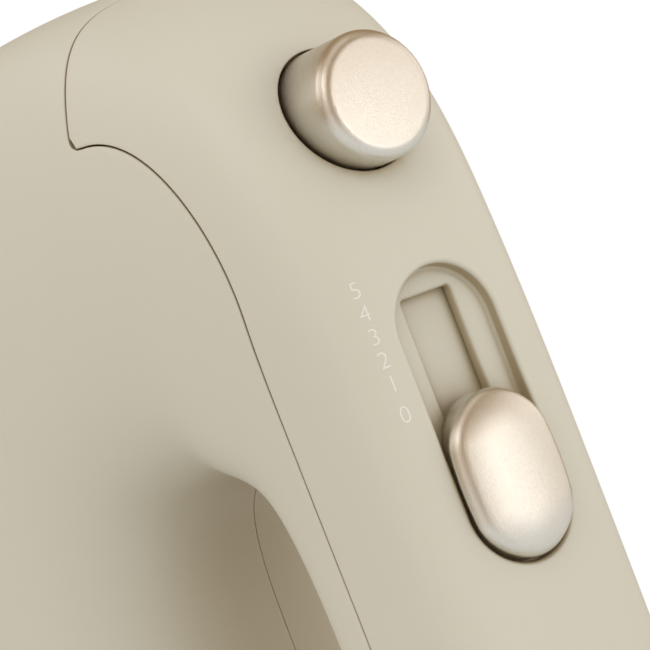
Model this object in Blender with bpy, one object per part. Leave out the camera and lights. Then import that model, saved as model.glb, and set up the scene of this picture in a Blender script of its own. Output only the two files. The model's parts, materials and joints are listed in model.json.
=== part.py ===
"""Hand mixer standing on its heel, as a bench assembly of separate pieces.

Frame: the mixer stands on its heel with the nose up. +Z runs from the heel to the nose, +X from the
beaters to the handle, and the housing is symmetric about the XZ plane. The origin is the centre of
the heel pad's flat face. Lengths below are millimetres; "up" is the distance from the bottom of the
housing towards the handle, so x = up - ORIGIN_UP.
"""

import math

import bmesh
import bpy
import numpy as np
from mathutils import Matrix, Vector

MM = 0.001

# ---- overall sizes ----
LENGTH = 203.0
BODY_HEIGHT = 69.5
GAP_HEIGHT = 37.5
HANDLE_DEPTH = 34.0
BODY_WIDTH = 82.0
HANDLE_WIDTH = 42.0
WALL = 2.4
GAP = 0.3
ORIGIN_UP = 42.0

# ---- heel ----
PAD_THICK = 1.5
PAD_HALF_WIDTH = 15.0
PAD_HALF_HEIGHT = 19.0
PAD_CORNER = 6.0

# ---- cooling slots ----
VENT_COUNT = 5
VENT_STEP = 6.5
VENT_REAR = 40.0
VENT_LENGTH = 20.0
VENT_HALF_WIDTH = 1.3
VENT_DEPTH = 12.0

# ---- cord entry ----
GLAND_UP = 88.0
GLAND_RADIUS = 5.0
GLAND_WALL = 1.6

# ---- eject button ----
BUTTON_FROM_NOSE = 32.5
BUTTON_RADIUS = 10.5
BUTTON_RIM = 2.0
BUTTON_PROUD = 5.0
BUTTON_DEPTH = 14.0
BUTTON_WALL = 1.6
EJECT_TRAVEL = 8.0
WELL_CLEARANCE = 0.9
GUIDE_CLEARANCE = 0.4
GUIDE_WALL = 1.2
GUIDE_FLOOR = 1.6
ROD_RADIUS = 3.0
ROD_COLLAR = 5.5
ROD_COLLAR_DROP = 18.0
YOKE_THICK = 3.0
SPRING_RADIUS = 3.6
SPRING_WIRE = 0.5
SPRING_TURNS = 4

# ---- speed slider ----
KNOB_LENGTH = 27.3
KNOB_WIDTH = 16.0
KNOB_PROUD = 4.0
KNOB_TRAVEL = 19.6
POCKET_SIDE_CLEARANCE = 1.0
POCKET_END_CLEARANCE = 0.6
POCKET_DEPTH = 3.7
POCKET_FLOOR = 1.0
BUTTON_TO_POCKET = 28.1
TRACK_HALF_WIDTH = 5.0
TRACK_INSET = 3.1
TRACK_BEHIND_KNOB = 11.0
STEM_HALF_WIDTH = 4.0
STEM_HALF_LENGTH = 8.0
SHUTTER_THICK = 1.0
SHUTTER_OVERLAP = 1.0
WIPER_DROP = 3.0
WIPER_FOOT = 2.2
WIPER_THICK = 0.6

# ---- motor ----
MOTOR_UP = 38.0
SHAFT_RADIUS = 3.0
SHAFT_FIT = 0.05
STATOR_REAR = 75.0
STATOR_LENGTH = 26.0
STATOR_WIDTH = 50.0
STATOR_ROOM = 10.3
STATOR_SHOULDER = 21.0
ARMATURE_RADIUS = 13.0
SLOT_FLOOR_RADIUS = 9.0
AIR_GAP = 0.6
ROTOR_SLOTS = 12
WINDING_REAR = 9.0
WINDING_FRONT = 8.0
FAN_RADIUS = 20.0
FAN_DISC = 1.4
FAN_DEPTH = 8.0
FAN_BLADES = 9
FAN_ROOM = 5.0
REAR_BRACKET_Z = 46.0
BRACKET_THICK = 3.0
BRACKET_HALF_WIDTH = 27.0
BUSH_WALL = 1.6
COMMUTATOR_RADIUS = 9.0
COMMUTATOR_LENGTH = 10.0
BRUSH_SIDE = 5.0
BRUSH_LENGTH = 12.0

# ---- gearing: a two-start worm between two worm wheels ----
BEATER_PITCH = 34.0
BEATER_SETBACK = 9.5
WORM_PITCH_RADIUS = 4.5
WORM_STARTS = 2
WORM_LENGTH = 24.0
WHEEL_TEETH = 18
WHEEL_THICK = 8.0
TOOTH_RISE = 0.87
HUB_RADIUS = 7.0
CASE_WALL = 1.4
CASE_FLOOR = 2.5
CASE_BELOW_MOTOR = 11.0
CASE_ABOVE_MOTOR = 12.0
WHEEL_ROOM = 0.6
NOSE_ROOM = 6.24
LID_THICK = 2.0

# ---- beaters ----
SPINDLE_RADIUS = 2.5
SPINDLE_CLEARANCE = 0.4
SPINDLE_ABOVE_MOTOR = 7.0
BEATER_RADIUS = 24.0
BEATER_REACH = 125.0
CAGE_HEIGHT = 74.0
CAGE_SHOULDER = 9.0
CAGE_FOOT = 17.0
STRIP_WIDTH = 4.0
STRIP_THICK = 1.4
COLLAR_RADIUS = 4.4
COLLAR_LENGTH = 8.0
SOCKET_RADIUS = 7.0
SOCKET_CLEARANCE = 0.6

# ---- fasteners ----
BOSS_RADIUS = 4.0
SCREW_RADIUS = 1.4
SCREW_HEAD_RADIUS = 2.8
SCREW_HEAD_THICK = 1.8
SCREW_LENGTH = 18.0
SCREW_SEAT = 9.0

# ---- how finely the skin is cut into faces: round the finger gap, and round the shell ----
SKIN_AROUND = 40
SKIN_ACROSS = 20

# ---- places worked out from the sizes above ----
HANDLE_UNDER = BODY_HEIGHT + GAP_HEIGHT
HEIGHT = HANDLE_UNDER + HANDLE_DEPTH
HEEL_CUT = PAD_THICK + GAP
AXIS_Z = LENGTH - BUTTON_FROM_NOSE
BEATER_Z = AXIS_Z - BEATER_SETBACK
BUTTON_LOW = HEIGHT + BUTTON_PROUD - BUTTON_DEPTH
GUIDE_TOP = HEIGHT - 1.0
MOTOR_X = MOTOR_UP - ORIGIN_UP
WHEEL_PITCH_RADIUS = BEATER_PITCH / 2 - WORM_PITCH_RADIUS
MODULE = 2 * WHEEL_PITCH_RADIUS / WHEEL_TEETH
WHEEL_TIP = WHEEL_PITCH_RADIUS + TOOTH_RISE * MODULE
CASE_RADIUS = WHEEL_TIP + WHEEL_ROOM + CASE_WALL
NOSE_HALF_WIDTH = BEATER_PITCH / 2 + CASE_RADIUS + NOSE_ROOM
POCKET_FRONT = AXIS_Z - BUTTON_TO_POCKET
POCKET_LENGTH = KNOB_LENGTH + KNOB_TRAVEL + 2 * POCKET_END_CLEARANCE
POCKET_REAR = POCKET_FRONT - POCKET_LENGTH
POCKET_WIDTH = KNOB_WIDTH + 2 * POCKET_SIDE_CLEARANCE
KNOB_Z = POCKET_REAR + POCKET_END_CLEARANCE + KNOB_LENGTH / 2
FLOOR_UP = HEIGHT - POCKET_DEPTH
TRACK_FRONT = POCKET_FRONT - TRACK_INSET
TRACK_REAR = KNOB_Z - TRACK_BEHIND_KNOB
SHUTTER_TOP = FLOOR_UP - POCKET_FLOOR - GAP
SHUTTER_HALF = TRACK_HALF_WIDTH + SHUTTER_OVERLAP
WIPER_TOP = SHUTTER_TOP - SHUTTER_THICK - WIPER_DROP
CASE_LOW = MOTOR_UP - CASE_BELOW_MOTOR
CASE_TOP = MOTOR_UP + CASE_ABOVE_MOTOR
YOKE_UP = CASE_TOP + LID_THICK + EJECT_TRAVEL + 2 * GAP
SPINDLE_TOP = MOTOR_UP + SPINDLE_ABOVE_MOTOR
COMMUTATOR_REAR = STATOR_REAR - WINDING_REAR - GAP - COMMUTATOR_LENGTH
FAN_REAR = STATOR_REAR + STATOR_LENGTH + WINDING_FRONT + GAP
FRONT_BRACKET_Z = FAN_REAR + FAN_DEPTH + FAN_ROOM
SHAFT_REAR = REAR_BRACKET_Z - 2.0
SHAFT_FRONT = BEATER_Z + BEATER_PITCH / 2 + 2.0
SCREWS = ((30.0, 24.0), (LENGTH - 69.0, 10.0), (LENGTH - 69.0, BODY_HEIGHT - 5.0), (13.0, BODY_HEIGHT - 9.0))


def x_at(up):
    return up - ORIGIN_UP


# ================= helpers =================

def material(name, colour, roughness, metallic=0.0):
    made = bpy.data.materials.new(name)
    made.use_nodes = True
    shader = made.node_tree.nodes["Principled BSDF"]
    shader.inputs["Base Color"].default_value = (*colour, 1.0)
    shader.inputs["Roughness"].default_value = roughness
    shader.inputs["Metallic"].default_value = metallic
    return made


CREAM = ((0.62, 0.58, 0.47), 0.5, 0.0)
CHAMPAGNE = ((0.72, 0.66, 0.55), 0.32, 0.8)
GREY = ((0.35, 0.35, 0.34), 0.5, 0.0)
DARK = ((0.05, 0.05, 0.05), 0.6, 0.0)
STEEL = ((0.62, 0.62, 0.62), 0.25, 1.0)
COPPER = ((0.72, 0.32, 0.16), 0.35, 1.0)
BRONZE = ((0.60, 0.42, 0.20), 0.4, 1.0)
NYLON = ((0.80, 0.78, 0.70), 0.45, 0.0)
GREEN = ((0.05, 0.22, 0.10), 0.5, 0.0)


def put(name, bm, look=None):
    """Make an object of a bmesh in millimetres; without a look it is only a cutter or a guide."""
    bmesh.ops.remove_doubles(bm, verts=bm.verts, dist=0.0005)
    bmesh.ops.recalc_face_normals(bm, faces=bm.faces)
    bm.transform(Matrix.Scale(MM, 4))
    mesh = bpy.data.meshes.new(name)
    bm.to_mesh(mesh)
    bm.free()
    made = bpy.data.objects.new(name, mesh)
    bpy.context.scene.collection.objects.link(made)
    if look is None:
        made.hide_render = True
        made.display_type = "WIRE"
    else:
        mesh.materials.append(material(name, *look))
        mesh.shade_smooth()
        mesh.set_sharp_from_angle(angle=math.radians(35))
    return made


def boolean(target, operation, *others):
    for other in others:
        modifier = target.modifiers.new(operation.lower(), "BOOLEAN")
        modifier.operation = operation
        modifier.solver = "EXACT"
        modifier.object = other
    return target


def cut(target, *cutters):
    return boolean(target, "DIFFERENCE", *cutters)


def join(target, *others):
    return boolean(target, "UNION", *others)


def keep(target, other):
    return boolean(target, "INTERSECT", other)


def place(axis, a, b, along):
    """A point from two coordinates across an axis and one along it, cyclic so that it is right-handed."""
    return {"x": (along, a, b), "y": (b, along, a), "z": (a, b, along)}[axis]


def add_prism(bm, outline, axis, low, high):
    low_ring = [bm.verts.new(place(axis, a, b, low)) for a, b in outline]
    face = bm.faces.new(low_ring)
    grown = bmesh.ops.extrude_face_region(bm, geom=[face])
    moved = [item for item in grown["geom"] if isinstance(item, bmesh.types.BMVert)]
    bmesh.ops.translate(bm, verts=moved, vec=Vector(place(axis, 0, 0, high - low)))


def prism(name, outline, axis, low, high, look=None):
    bm = bmesh.new()
    add_prism(bm, outline, axis, low, high)
    return put(name, bm, look)


def add_turned(bm, profile, axis, centre, sides):
    """Spin a profile of (radius, distance along the axis) points round an axis through the centre."""
    closed = profile[0][0] > 0 or profile[-1][0] > 0
    a, b = centre
    points = [bm.verts.new(place(axis, a + radius, b, along)) for radius, along in profile]
    pairs = list(zip(points, points[1:]))
    if closed:
        pairs.append((points[-1], points[0]))
    edges = [bm.edges.new(pair) for pair in pairs]
    bmesh.ops.spin(bm, geom=points + edges, cent=Vector(place(axis, a, b, 0)),
                   axis=Vector(place(axis, 0, 0, 1)),
                   angle=math.tau, steps=sides, use_merge=True)
    bmesh.ops.remove_doubles(bm, verts=bm.verts, dist=0.0005)


def turned(name, profile, axis, centre, sides=24, look=None):
    bm = bmesh.new()
    add_turned(bm, profile, axis, centre, sides)
    return put(name, bm, look)


def add_loft(bm, rings):
    """Join a row of closed rings of corners into one solid with flat ends."""
    count = len(rings[0])
    for first, second in zip(rings, rings[1:]):
        for n in range(count):
            bm.faces.new((first[n], first[(n + 1) % count], second[(n + 1) % count], second[n]))
    bm.faces.new(rings[0])
    bm.faces.new(rings[-1])


def rod(name, radius, axis, centre, low, high, sides=24, look=None):
    return turned(name, [(0, low), (radius, low), (radius, high), (0, high)], axis, centre, sides, look)


def tube(name, outer, inner, axis, centre, low, high, sides=24, look=None):
    return turned(name, [(outer, low), (outer, high), (inner, high), (inner, low)], axis, centre, sides, look)


def rectangle(low_a, high_a, low_b, high_b):
    return [(low_a, low_b), (high_a, low_b), (high_a, high_b), (low_a, high_b)]


def block(name, xs, ys, zs, look=None):
    return prism(name, rectangle(*xs, *ys), "z", *zs, look)


def arc(centre, radii, start, end, steps):
    """Points on an ellipse's arc, angles in degrees."""
    angles = [math.radians(start + (end - start) * k / steps) for k in range(steps + 1)]
    return [(centre[0] + radii[0] * math.cos(t), centre[1] + radii[1] * math.sin(t)) for t in angles]


def stadium(centre_a, low_b, high_b, radius, steps=10):
    """A slot outline: straight along b, round at both ends."""
    top = arc((centre_a, high_b - radius), (radius, radius), 0, 180, steps)
    bottom = arc((centre_a, low_b + radius), (radius, radius), 180, 360, steps)
    return top + bottom


def rounded(low_a, high_a, low_b, high_b, radius, steps=4):
    size = (radius, radius)
    corners = ((high_a - radius, high_b - radius, 0), (low_a + radius, high_b - radius, 90),
               (low_a + radius, low_b + radius, 180), (high_a - radius, low_b + radius, 270))
    return [point for a, b, turn in corners for point in arc((a, b), size, turn, turn + 90, steps)]


# ================= the skin: a smooth closed ring of cross-sections =================

# Half widths round a section, from its inner point to its outer point, as (place, share of half width).
GRIP = ((0.00, 0.60), (0.07, 1.00), (0.30, 1.03), (0.65, 1.02), (0.94, 0.94), (0.985, 0.48))
CROWN = ((0.00, 0.50), (0.06, 0.90), (0.30, 1.03), (0.61, 1.02), (0.90, 0.90), (0.985, 0.50))
BROW = ((0.00, 0.33), (0.07, 0.72), (0.33, 0.98), (0.62, 1.04), (0.92, 0.86), (0.985, 0.48))
SNOUT = ((0.00, 0.33), (0.07, 0.72), (0.33, 0.98), (0.63, 1.04), (0.96, 0.92), (1.00, 0.60))
BARREL = ((0.00, 0.30), (0.06, 0.66), (0.26, 1.00), (0.62, 1.03), (0.93, 0.86), (1.00, 0.48))


def section_net():
    """The control points, as rows of (x, y, z): rows run round the finger gap, points round the shell.

    The middle of the body takes its width from BODY_WIDTH, and the nose from the gear case inside it.
    """
    under, top, floor, nose = HANDLE_UNDER, HEIGHT, BODY_HEIGHT - 0.5, LENGTH
    grip, half, snout = HANDLE_WIDTH / 2, BODY_WIDTH / 2, NOSE_HALF_WIDTH
    sections = (  # inner (z, up), outer (z, up), half width, fullness
        ((50, under), (44, top), grip - 0.5, GRIP),
        ((nose - 127, under), (nose - 129, top + 0.5), grip, GRIP),
        ((nose - 105, under), (nose - 103, top + 0.5), grip, GRIP),
        ((nose - 92, under - 1.5), (nose - 78, top + 0.4), grip + 0.3, GRIP),
        ((nose - 85, under - 6), (nose - 50, top + 0.6), grip + 1.6, CROWN),
        ((nose - 81, under - 13), (nose - 20.5, top - 6.3), half * 0.646, CROWN),
        ((nose - 80, under - 19), (nose + 0.8, top - 28), snout * 0.771, BROW),
        ((nose - 80, under - 27), (nose + 0.5, top - 61), snout * 0.873, SNOUT),
        ((nose - 84, floor + 3.5), (nose - 5, 26), snout, SNOUT),
        ((nose - 94, floor + 0.2), (nose - 35, 0), (snout + half) / 2, BARREL),
        ((nose - 109, floor), (nose - 73, -1), half, BARREL),
        ((nose - 127, floor), (nose - 115, -1), half, BARREL),
        ((52, floor), (48, -1), half * 0.976, BARREL),
        ((34, floor + 1.5), (6, 0), half * 0.902, BARREL),
        ((24, floor + 8.5), (-1, 22), half * 0.829, BARREL),
        ((21, floor + 18.5), (-1, 70), half * 0.732, SNOUT),
        ((23, under - 8), (3, top - 28), grip + 3, GRIP),
        ((33, under - 1), (17, top - 2), grip, GRIP),
    )
    rows = []
    for inner, outer, width, fullness in sections:
        inner, outer = np.array(inner, float), np.array(outer, float)
        side = [(share, out * width) for share, out in fullness]
        ring = [(0.0, 0.0)] + side + [(1.0, 0.0)] + [(share, -out) for share, out in reversed(side)]
        middles = [inner + (outer - inner) * share for share, _ in ring]
        rows.append([(x_at(middle[1]), out, middle[0]) for middle, (_, out) in zip(middles, ring)])
    return np.array(rows)


def spline_weights(t):
    return np.stack([(1 - t) ** 3, 3 * t ** 3 - 6 * t ** 2 + 4, -3 * t ** 3 + 3 * t ** 2 + 3 * t + 1,
                     t ** 3], -1) / 6


def resample(net, places, axis):
    """Values of a closed uniform cubic B-spline at the given places along one axis of a net."""
    whole = np.floor(places).astype(int)
    weights = spline_weights(places - whole)
    count = net.shape[axis]
    picked = [np.take(net, (whole + k - 1) % count, axis=axis) for k in range(4)]
    shape = [1] * net.ndim
    shape[axis] = len(places)
    return sum(weights[:, k].reshape(shape) * picked[k] for k in range(4))


def skin_points(around, across, inset=0.0):
    net = section_net()
    rows = np.arange(around) * net.shape[0] / around
    columns = np.arange(across) * net.shape[1] / across
    points = resample(resample(net, rows, 0), columns, 1)
    if inset:
        step = 1e-3
        along = resample(resample(net, rows + step, 0), columns, 1) - points
        over = resample(resample(net, rows, 0), columns + step, 1) - points
        normals = np.cross(along, over)
        normals /= np.linalg.norm(normals, axis=-1, keepdims=True)
        outward = 1.0 if (normals * (points - points.mean((0, 1)))).sum() > 0 else -1.0
        points = points - normals * outward * inset
    return points


def skin(name, around, across, inset=0.0, look=None):
    points = skin_points(around, across, inset)
    bm = bmesh.new()
    grid = [[bm.verts.new(point) for point in row] for row in points]
    for i in range(around):
        for j in range(across):
            k, m = (i + 1) % around, (j + 1) % across
            bm.faces.new((grid[i][j], grid[k][j], grid[k][m], grid[i][m]))
    return put(name, bm, look)


def seam_line(offset=0.0):
    """The line in the (z, up) plane where the handle cover meets the housing halves.

    It hooks round the back of the handle, runs straight, rises on a ramp to a swell beside the button,
    and hooks again into a slanting line round the nose.
    """
    rear_low, rear_corner = HEIGHT - 43.0, 2.3
    straight = HEIGHT - 20.8
    front_low, front_corner = HEIGHT - 35.5, 1.7
    swell_z, swell = LENGTH - 51.0, (28.0, 18.7)
    crest = math.radians(14.0)
    slope = math.atan(swell[1] / swell[0] * math.tan(crest))
    ramp_end = (swell_z - swell[0] * math.sin(crest), front_low + swell[1] * math.cos(crest))
    ramp = (ramp_end[1] - straight) / (1 - math.cos(slope))
    line = [(-20.0, rear_low), (18.0 - rear_corner, rear_low)]
    line += arc((18.0 - rear_corner, rear_low + rear_corner), (rear_corner, rear_corner), 300, 360, 2)
    line += arc((44.0, rear_low + rear_corner), (26.0, straight - rear_low - rear_corner), 160, 90, 6)
    line += arc((ramp_end[0] - ramp * math.sin(slope), straight + ramp), (ramp, ramp), 270,
                270 + math.degrees(slope), 3)
    line += arc((swell_z, front_low), swell, 100, 0, 9)
    line += arc((swell_z + swell[0] + front_corner, front_low), (front_corner, front_corner), 225, 278, 1)
    line += [(LENGTH + 12.0, line[-1][1] + 0.15 * (LENGTH + 12.0 - line[-1][0]))]
    points = np.array(line)
    ahead = np.roll(points, -1, 0) - points
    ahead[-1] = ahead[-2]
    behind = points - np.roll(points, 1, 0)
    behind[0] = behind[1]
    tangent = sum(step / np.linalg.norm(step, axis=1)[:, None] for step in (ahead, behind))
    tangent /= np.linalg.norm(tangent, axis=1)[:, None]
    normal = np.stack([-tangent[:, 1], tangent[:, 0]], 1)
    return points + normal * offset


def cover_region(name, offset):
    """Everything above the seam line, as a prism along Y."""
    line = [(z, x_at(up)) for z, up in seam_line(offset)]
    outline = line + [(LENGTH + 12.0, x_at(HEIGHT + 30)), (-20.0, x_at(HEIGHT + 30))]
    return prism(name, outline, "y", -BODY_WIDTH, BODY_WIDTH)


# ================= housing =================

def boss(name, z, up, side):
    made = rod(name, BOSS_RADIUS, "y", (z, x_at(up)), *sorted((side * GAP / 2, side * BODY_WIDTH / 2)),
               sides=16)
    return keep(made, skin(name + "_skin", SKIN_AROUND, SKIN_ACROSS, WALL / 2))


def hollow_shell(name, look):
    return cut(skin(name, SKIN_AROUND, SKIN_ACROSS, 0, look),
               skin(name + "_hollow", SKIN_AROUND, SKIN_ACROSS, WALL))


def vent_slots(name, side):
    """A row of cooling slots in the rear of the body side."""
    bm = bmesh.new()
    for k in range(VENT_COUNT):
        middle = x_at(MOTOR_UP + VENT_STEP * (k - (VENT_COUNT - 1) / 2))
        slot = [(z, x) for x, z in stadium(middle, VENT_REAR, VENT_REAR + VENT_LENGTH, VENT_HALF_WIDTH, 4)]
        add_prism(bm, slot, "y", *sorted((side * (BODY_WIDTH / 2 - VENT_DEPTH), side * BODY_WIDTH)))
    return put(name, bm)


def housing_half(name, side):
    shell = hollow_shell(name, CREAM)
    join(shell, *[boss(f"{name}_boss_{k}", z, up, side) for k, (z, up) in enumerate(SCREWS)])
    keep(shell, block(name + "_side", (-200, 200), sorted((side * GAP / 2, side * BODY_WIDTH)),
                      (HEEL_CUT, LENGTH + 40)))
    cut(shell, cover_region(name + "_seam", 0.0))
    beater_axis = (side * BEATER_PITCH / 2, BEATER_Z)
    cut(shell, rod(name + "_beater_hole", SOCKET_RADIUS + GAP, "x", beater_axis, x_at(-18), x_at(20)))
    cut(shell, rod(name + "_cord_hole", GLAND_RADIUS + GAP, "z", (x_at(GLAND_UP), 0), -10, 20, sides=20))
    cut(shell, vent_slots(name + "_vents", side))
    bm = bmesh.new()
    for z, up in SCREWS:
        centre = (z, x_at(up))
        if side > 0:
            shoulder = SCREW_SEAT
            profile = [(0, -1), (SCREW_RADIUS + GAP, -1), (SCREW_RADIUS + GAP, shoulder),
                       (SCREW_HEAD_RADIUS + GAP, shoulder), (SCREW_HEAD_RADIUS + GAP, 60), (0, 60)]
        else:
            depth = SCREW_SEAT - SCREW_LENGTH - 1.0
            profile = [(0, depth), (SCREW_RADIUS + GAP, depth), (SCREW_RADIUS + GAP, 1), (0, 1)]
        add_turned(bm, profile, "y", centre, 12)
    cut(shell, put(name + "_screw_holes", bm))
    return shell


def handle_cover():
    shell = hollow_shell("handle_cover", CREAM)
    keep(shell, cover_region("cover_seam", GAP))
    deck_up = FLOOR_UP - POCKET_FLOOR
    deck = prism("cover_deck",
                 stadium(0.0, POCKET_REAR - WALL, POCKET_FRONT + WALL, POCKET_WIDTH / 2 + WALL), "x",
                 x_at(deck_up), x_at(HEIGHT - WALL / 2))
    join(shell, deck)
    cut(shell, prism("cover_pocket", stadium(0.0, POCKET_REAR, POCKET_FRONT, POCKET_WIDTH / 2), "x",
                     x_at(FLOOR_UP), x_at(HEIGHT + 20)))
    track = rectangle(-TRACK_HALF_WIDTH, TRACK_HALF_WIDTH, TRACK_REAR, TRACK_FRONT)
    cut(shell, prism("cover_track", track, "x", x_at(deck_up - 5), x_at(HEIGHT)))
    cut(shell, rod("cover_well", BUTTON_RADIUS + WELL_CLEARANCE, "x", (0, AXIS_Z), x_at(HEIGHT - 60),
                   x_at(HEIGHT + 20)))
    return shell


def heel_pad():
    outline = rounded(-PAD_HALF_HEIGHT, PAD_HALF_HEIGHT, -PAD_HALF_WIDTH, PAD_HALF_WIDTH, PAD_CORNER)
    return prism("heel_pad", outline, "z", 0.0, PAD_THICK, DARK)


def cord_gland():
    lip = GLAND_RADIUS - GLAND_WALL
    profile = [(GLAND_RADIUS, 1.0), (GLAND_RADIUS, 8.0), (lip + 1.0, 11.0), (lip, 11.0), (lip, 1.0)]
    return turned("cord_gland", profile, "z", (x_at(GLAND_UP), 0), 20, GREY)


def socket_ring(name, side):
    outer = SOCKET_RADIUS
    inner = COLLAR_RADIUS + SOCKET_CLEARANCE
    low, high = x_at(3.0), x_at(CASE_LOW - 2.0)
    return turned(name, [(outer, low), (outer, high), (inner, high), (inner, low)], "x",
                  (side * BEATER_PITCH / 2, BEATER_Z), 24, GREY)


def screws():
    for k, (z, up) in enumerate(SCREWS, 1):
        head = SCREW_SEAT + GAP
        tip = SCREW_SEAT - SCREW_LENGTH
        crown = head + SCREW_HEAD_THICK
        profile = [(0, tip), (SCREW_RADIUS * 0.6, tip), (SCREW_RADIUS, tip + 2), (SCREW_RADIUS, head),
                   (SCREW_HEAD_RADIUS, head), (SCREW_HEAD_RADIUS, crown), (0, crown)]
        turned(f"housing_screw_{k}", profile, "y", (z, x_at(up)), 12, STEEL)


# ================= ejector =================

def eject_button():
    """A cap with a rounded rim, hollow underneath, with a spigot for the push rod."""
    face = HEIGHT + BUTTON_PROUD
    low = BUTTON_LOW
    rim, ceiling = BUTTON_RIM, face - 3.5
    outer = [(0, face), (BUTTON_RADIUS - rim, face)]
    outer += arc((BUTTON_RADIUS - rim, face - rim), (rim, rim), 75, 0, 3)
    outer += [(BUTTON_RADIUS, low), (BUTTON_RADIUS - BUTTON_WALL, low)]
    outer += [(BUTTON_RADIUS - BUTTON_WALL, ceiling), (ROD_RADIUS, ceiling), (ROD_RADIUS, low + 2),
              (0, low + 2)]
    profile = [(radius, x_at(up)) for radius, up in outer]
    return turned("eject_button", profile, "x", (0, AXIS_Z), 32, CHAMPAGNE)


def button_guide():
    """The sleeve under the well; its rear wall is notched for the end of the sliding shutter."""
    inner = BUTTON_RADIUS + GUIDE_CLEARANCE
    bore = ROD_RADIUS + 0.5
    low = BUTTON_LOW - EJECT_TRAVEL - 2.0
    floor = low - GUIDE_FLOOR
    profile = [(bore, x_at(floor)), (inner + GUIDE_WALL, x_at(floor)), (inner + GUIDE_WALL, x_at(GUIDE_TOP)),
               (inner, x_at(GUIDE_TOP)), (inner, x_at(low)), (bore, x_at(low))]
    sleeve = turned("button_guide", profile, "x", (0, AXIS_Z), 32, GREY)
    notch = block("guide_notch", (x_at(SHUTTER_TOP - SHUTTER_THICK - 0.8), x_at(HEIGHT)),
                  (-SHUTTER_HALF - 0.8, SHUTTER_HALF + 0.8), (AXIS_Z - 20, AXIS_Z - 5))
    return cut(keep(sleeve, skin("guide_skin", SKIN_AROUND, SKIN_ACROSS, WALL + 2 * GAP)), notch)


def push_rod():
    low = x_at(YOKE_UP + YOKE_THICK + GAP)
    high = x_at(BUTTON_LOW + 2.0 - GAP)
    flange = high - ROD_COLLAR_DROP
    profile = [(0, low), (ROD_RADIUS, low), (ROD_RADIUS, flange), (ROD_COLLAR, flange),
               (ROD_COLLAR, flange + 1.5),
               (ROD_RADIUS, flange + 1.5), (ROD_RADIUS, high), (0, high)]
    return turned("push_rod", profile, "x", (0, AXIS_Z), 16, NYLON)


def ejector_yoke():
    """A bar across both beater spindles, with a pin above each one."""
    half = BEATER_PITCH / 2
    bar = prism("ejector_yoke", rounded(-half - 4, half + 4, BEATER_Z - 4, AXIS_Z + 4, 3.5), "x",
                x_at(YOKE_UP), x_at(YOKE_UP + YOKE_THICK), NYLON)
    pins = [rod(f"yoke_pin_{k}", SPINDLE_RADIUS - 0.3, "x", (side * half, BEATER_Z), x_at(SPINDLE_TOP + GAP),
                x_at(YOKE_UP + 1.0), sides=14) for k, side in enumerate((-1, 1))]
    return join(bar, *pins)


def eject_spring():
    """A compression spring between the yoke bar's boss and a shelf of the gear cover."""
    low, high = x_at(CASE_TOP + LID_THICK + 2 * GAP), x_at(YOKE_UP - GAP)
    radius, wire, steps = SPRING_RADIUS, SPRING_WIRE, 12
    bm = bmesh.new()
    rings = []
    total = SPRING_TURNS * steps
    for k in range(total + 1):
        angle = math.tau * k / steps
        along = low + wire + (high - low - 2 * wire) * k / total
        out = Vector((0, math.cos(angle), math.sin(angle)))
        centre = Vector((along, 0, BEATER_Z)) + out * radius
        rings.append([bm.verts.new(centre + wire * (math.cos(t) * out + math.sin(t) * Vector((1, 0, 0))))
                      for t in (math.tau * n / 5 for n in range(5))])
    add_loft(bm, rings)
    return put("eject_spring", bm, STEEL)


# ================= speed slider =================

def speed_knob():
    """A domed stadium cap with a stem that passes through the track."""
    face = HEIGHT + KNOB_PROUD
    low = FLOOR_UP + 0.4
    radius = KNOB_WIDTH / 2
    layers = [(low, 0.3), (low + 0.8, 0.0), (face - 2.6, 0.0), (face - 1.2, 0.7), (face - 0.35, 2.0),
              (face, 4.2)]
    bm = bmesh.new()
    rings = []
    for up, inset in layers:
        outline = stadium(0.0, KNOB_Z - KNOB_LENGTH / 2 + inset, KNOB_Z + KNOB_LENGTH / 2 - inset,
                          radius - inset, 8)
        rings.append([bm.verts.new((x_at(up), y, z)) for y, z in outline])
    add_loft(bm, rings)
    cap = put("speed_knob", bm, CHAMPAGNE)
    stem = block("knob_stem", (x_at(SHUTTER_TOP + GAP), x_at(low + 1.0)), (-STEM_HALF_WIDTH, STEM_HALF_WIDTH),
                 (KNOB_Z - STEM_HALF_LENGTH, KNOB_Z + STEM_HALF_LENGTH))
    return join(cap, stem)


def slider_shutter():
    """The strip under the track: it carries the knob and closes the track at every speed."""
    rear = TRACK_REAR - KNOB_TRAVEL - SHUTTER_OVERLAP
    front = TRACK_FRONT + 0.1
    plate = block("slider_shutter", (x_at(SHUTTER_TOP - SHUTTER_THICK), x_at(SHUTTER_TOP)),
                  (-SHUTTER_HALF, SHUTTER_HALF), (rear, front), CREAM)
    finger = block("shutter_finger", (x_at(WIPER_TOP + GAP), x_at(SHUTTER_TOP - SHUTTER_THICK / 2)), (-3, 3),
                   (KNOB_Z - 4, KNOB_Z + 4))
    return join(plate, finger)


def contact_wiper():
    """The sprung contact bridge that the slider drags along the switch block."""
    thick, half = WIPER_THICK, 5.0
    low = WIPER_TOP - WIPER_FOOT
    outline = [(KNOB_Z - 7, low), (KNOB_Z - 5, low), (KNOB_Z - 3, WIPER_TOP - thick),
               (KNOB_Z + 3, WIPER_TOP - thick),
               (KNOB_Z + 5, low), (KNOB_Z + 7, low), (KNOB_Z + 7, low + thick), (KNOB_Z + 5.4, low + thick),
               (KNOB_Z + 3.4, WIPER_TOP), (KNOB_Z - 3.4, WIPER_TOP), (KNOB_Z - 5.4, low + thick),
               (KNOB_Z - 7, low + thick)]
    return prism("contact_wiper", [(z, x_at(up)) for z, up in outline], "y", -half, half, BRONZE)


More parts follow.
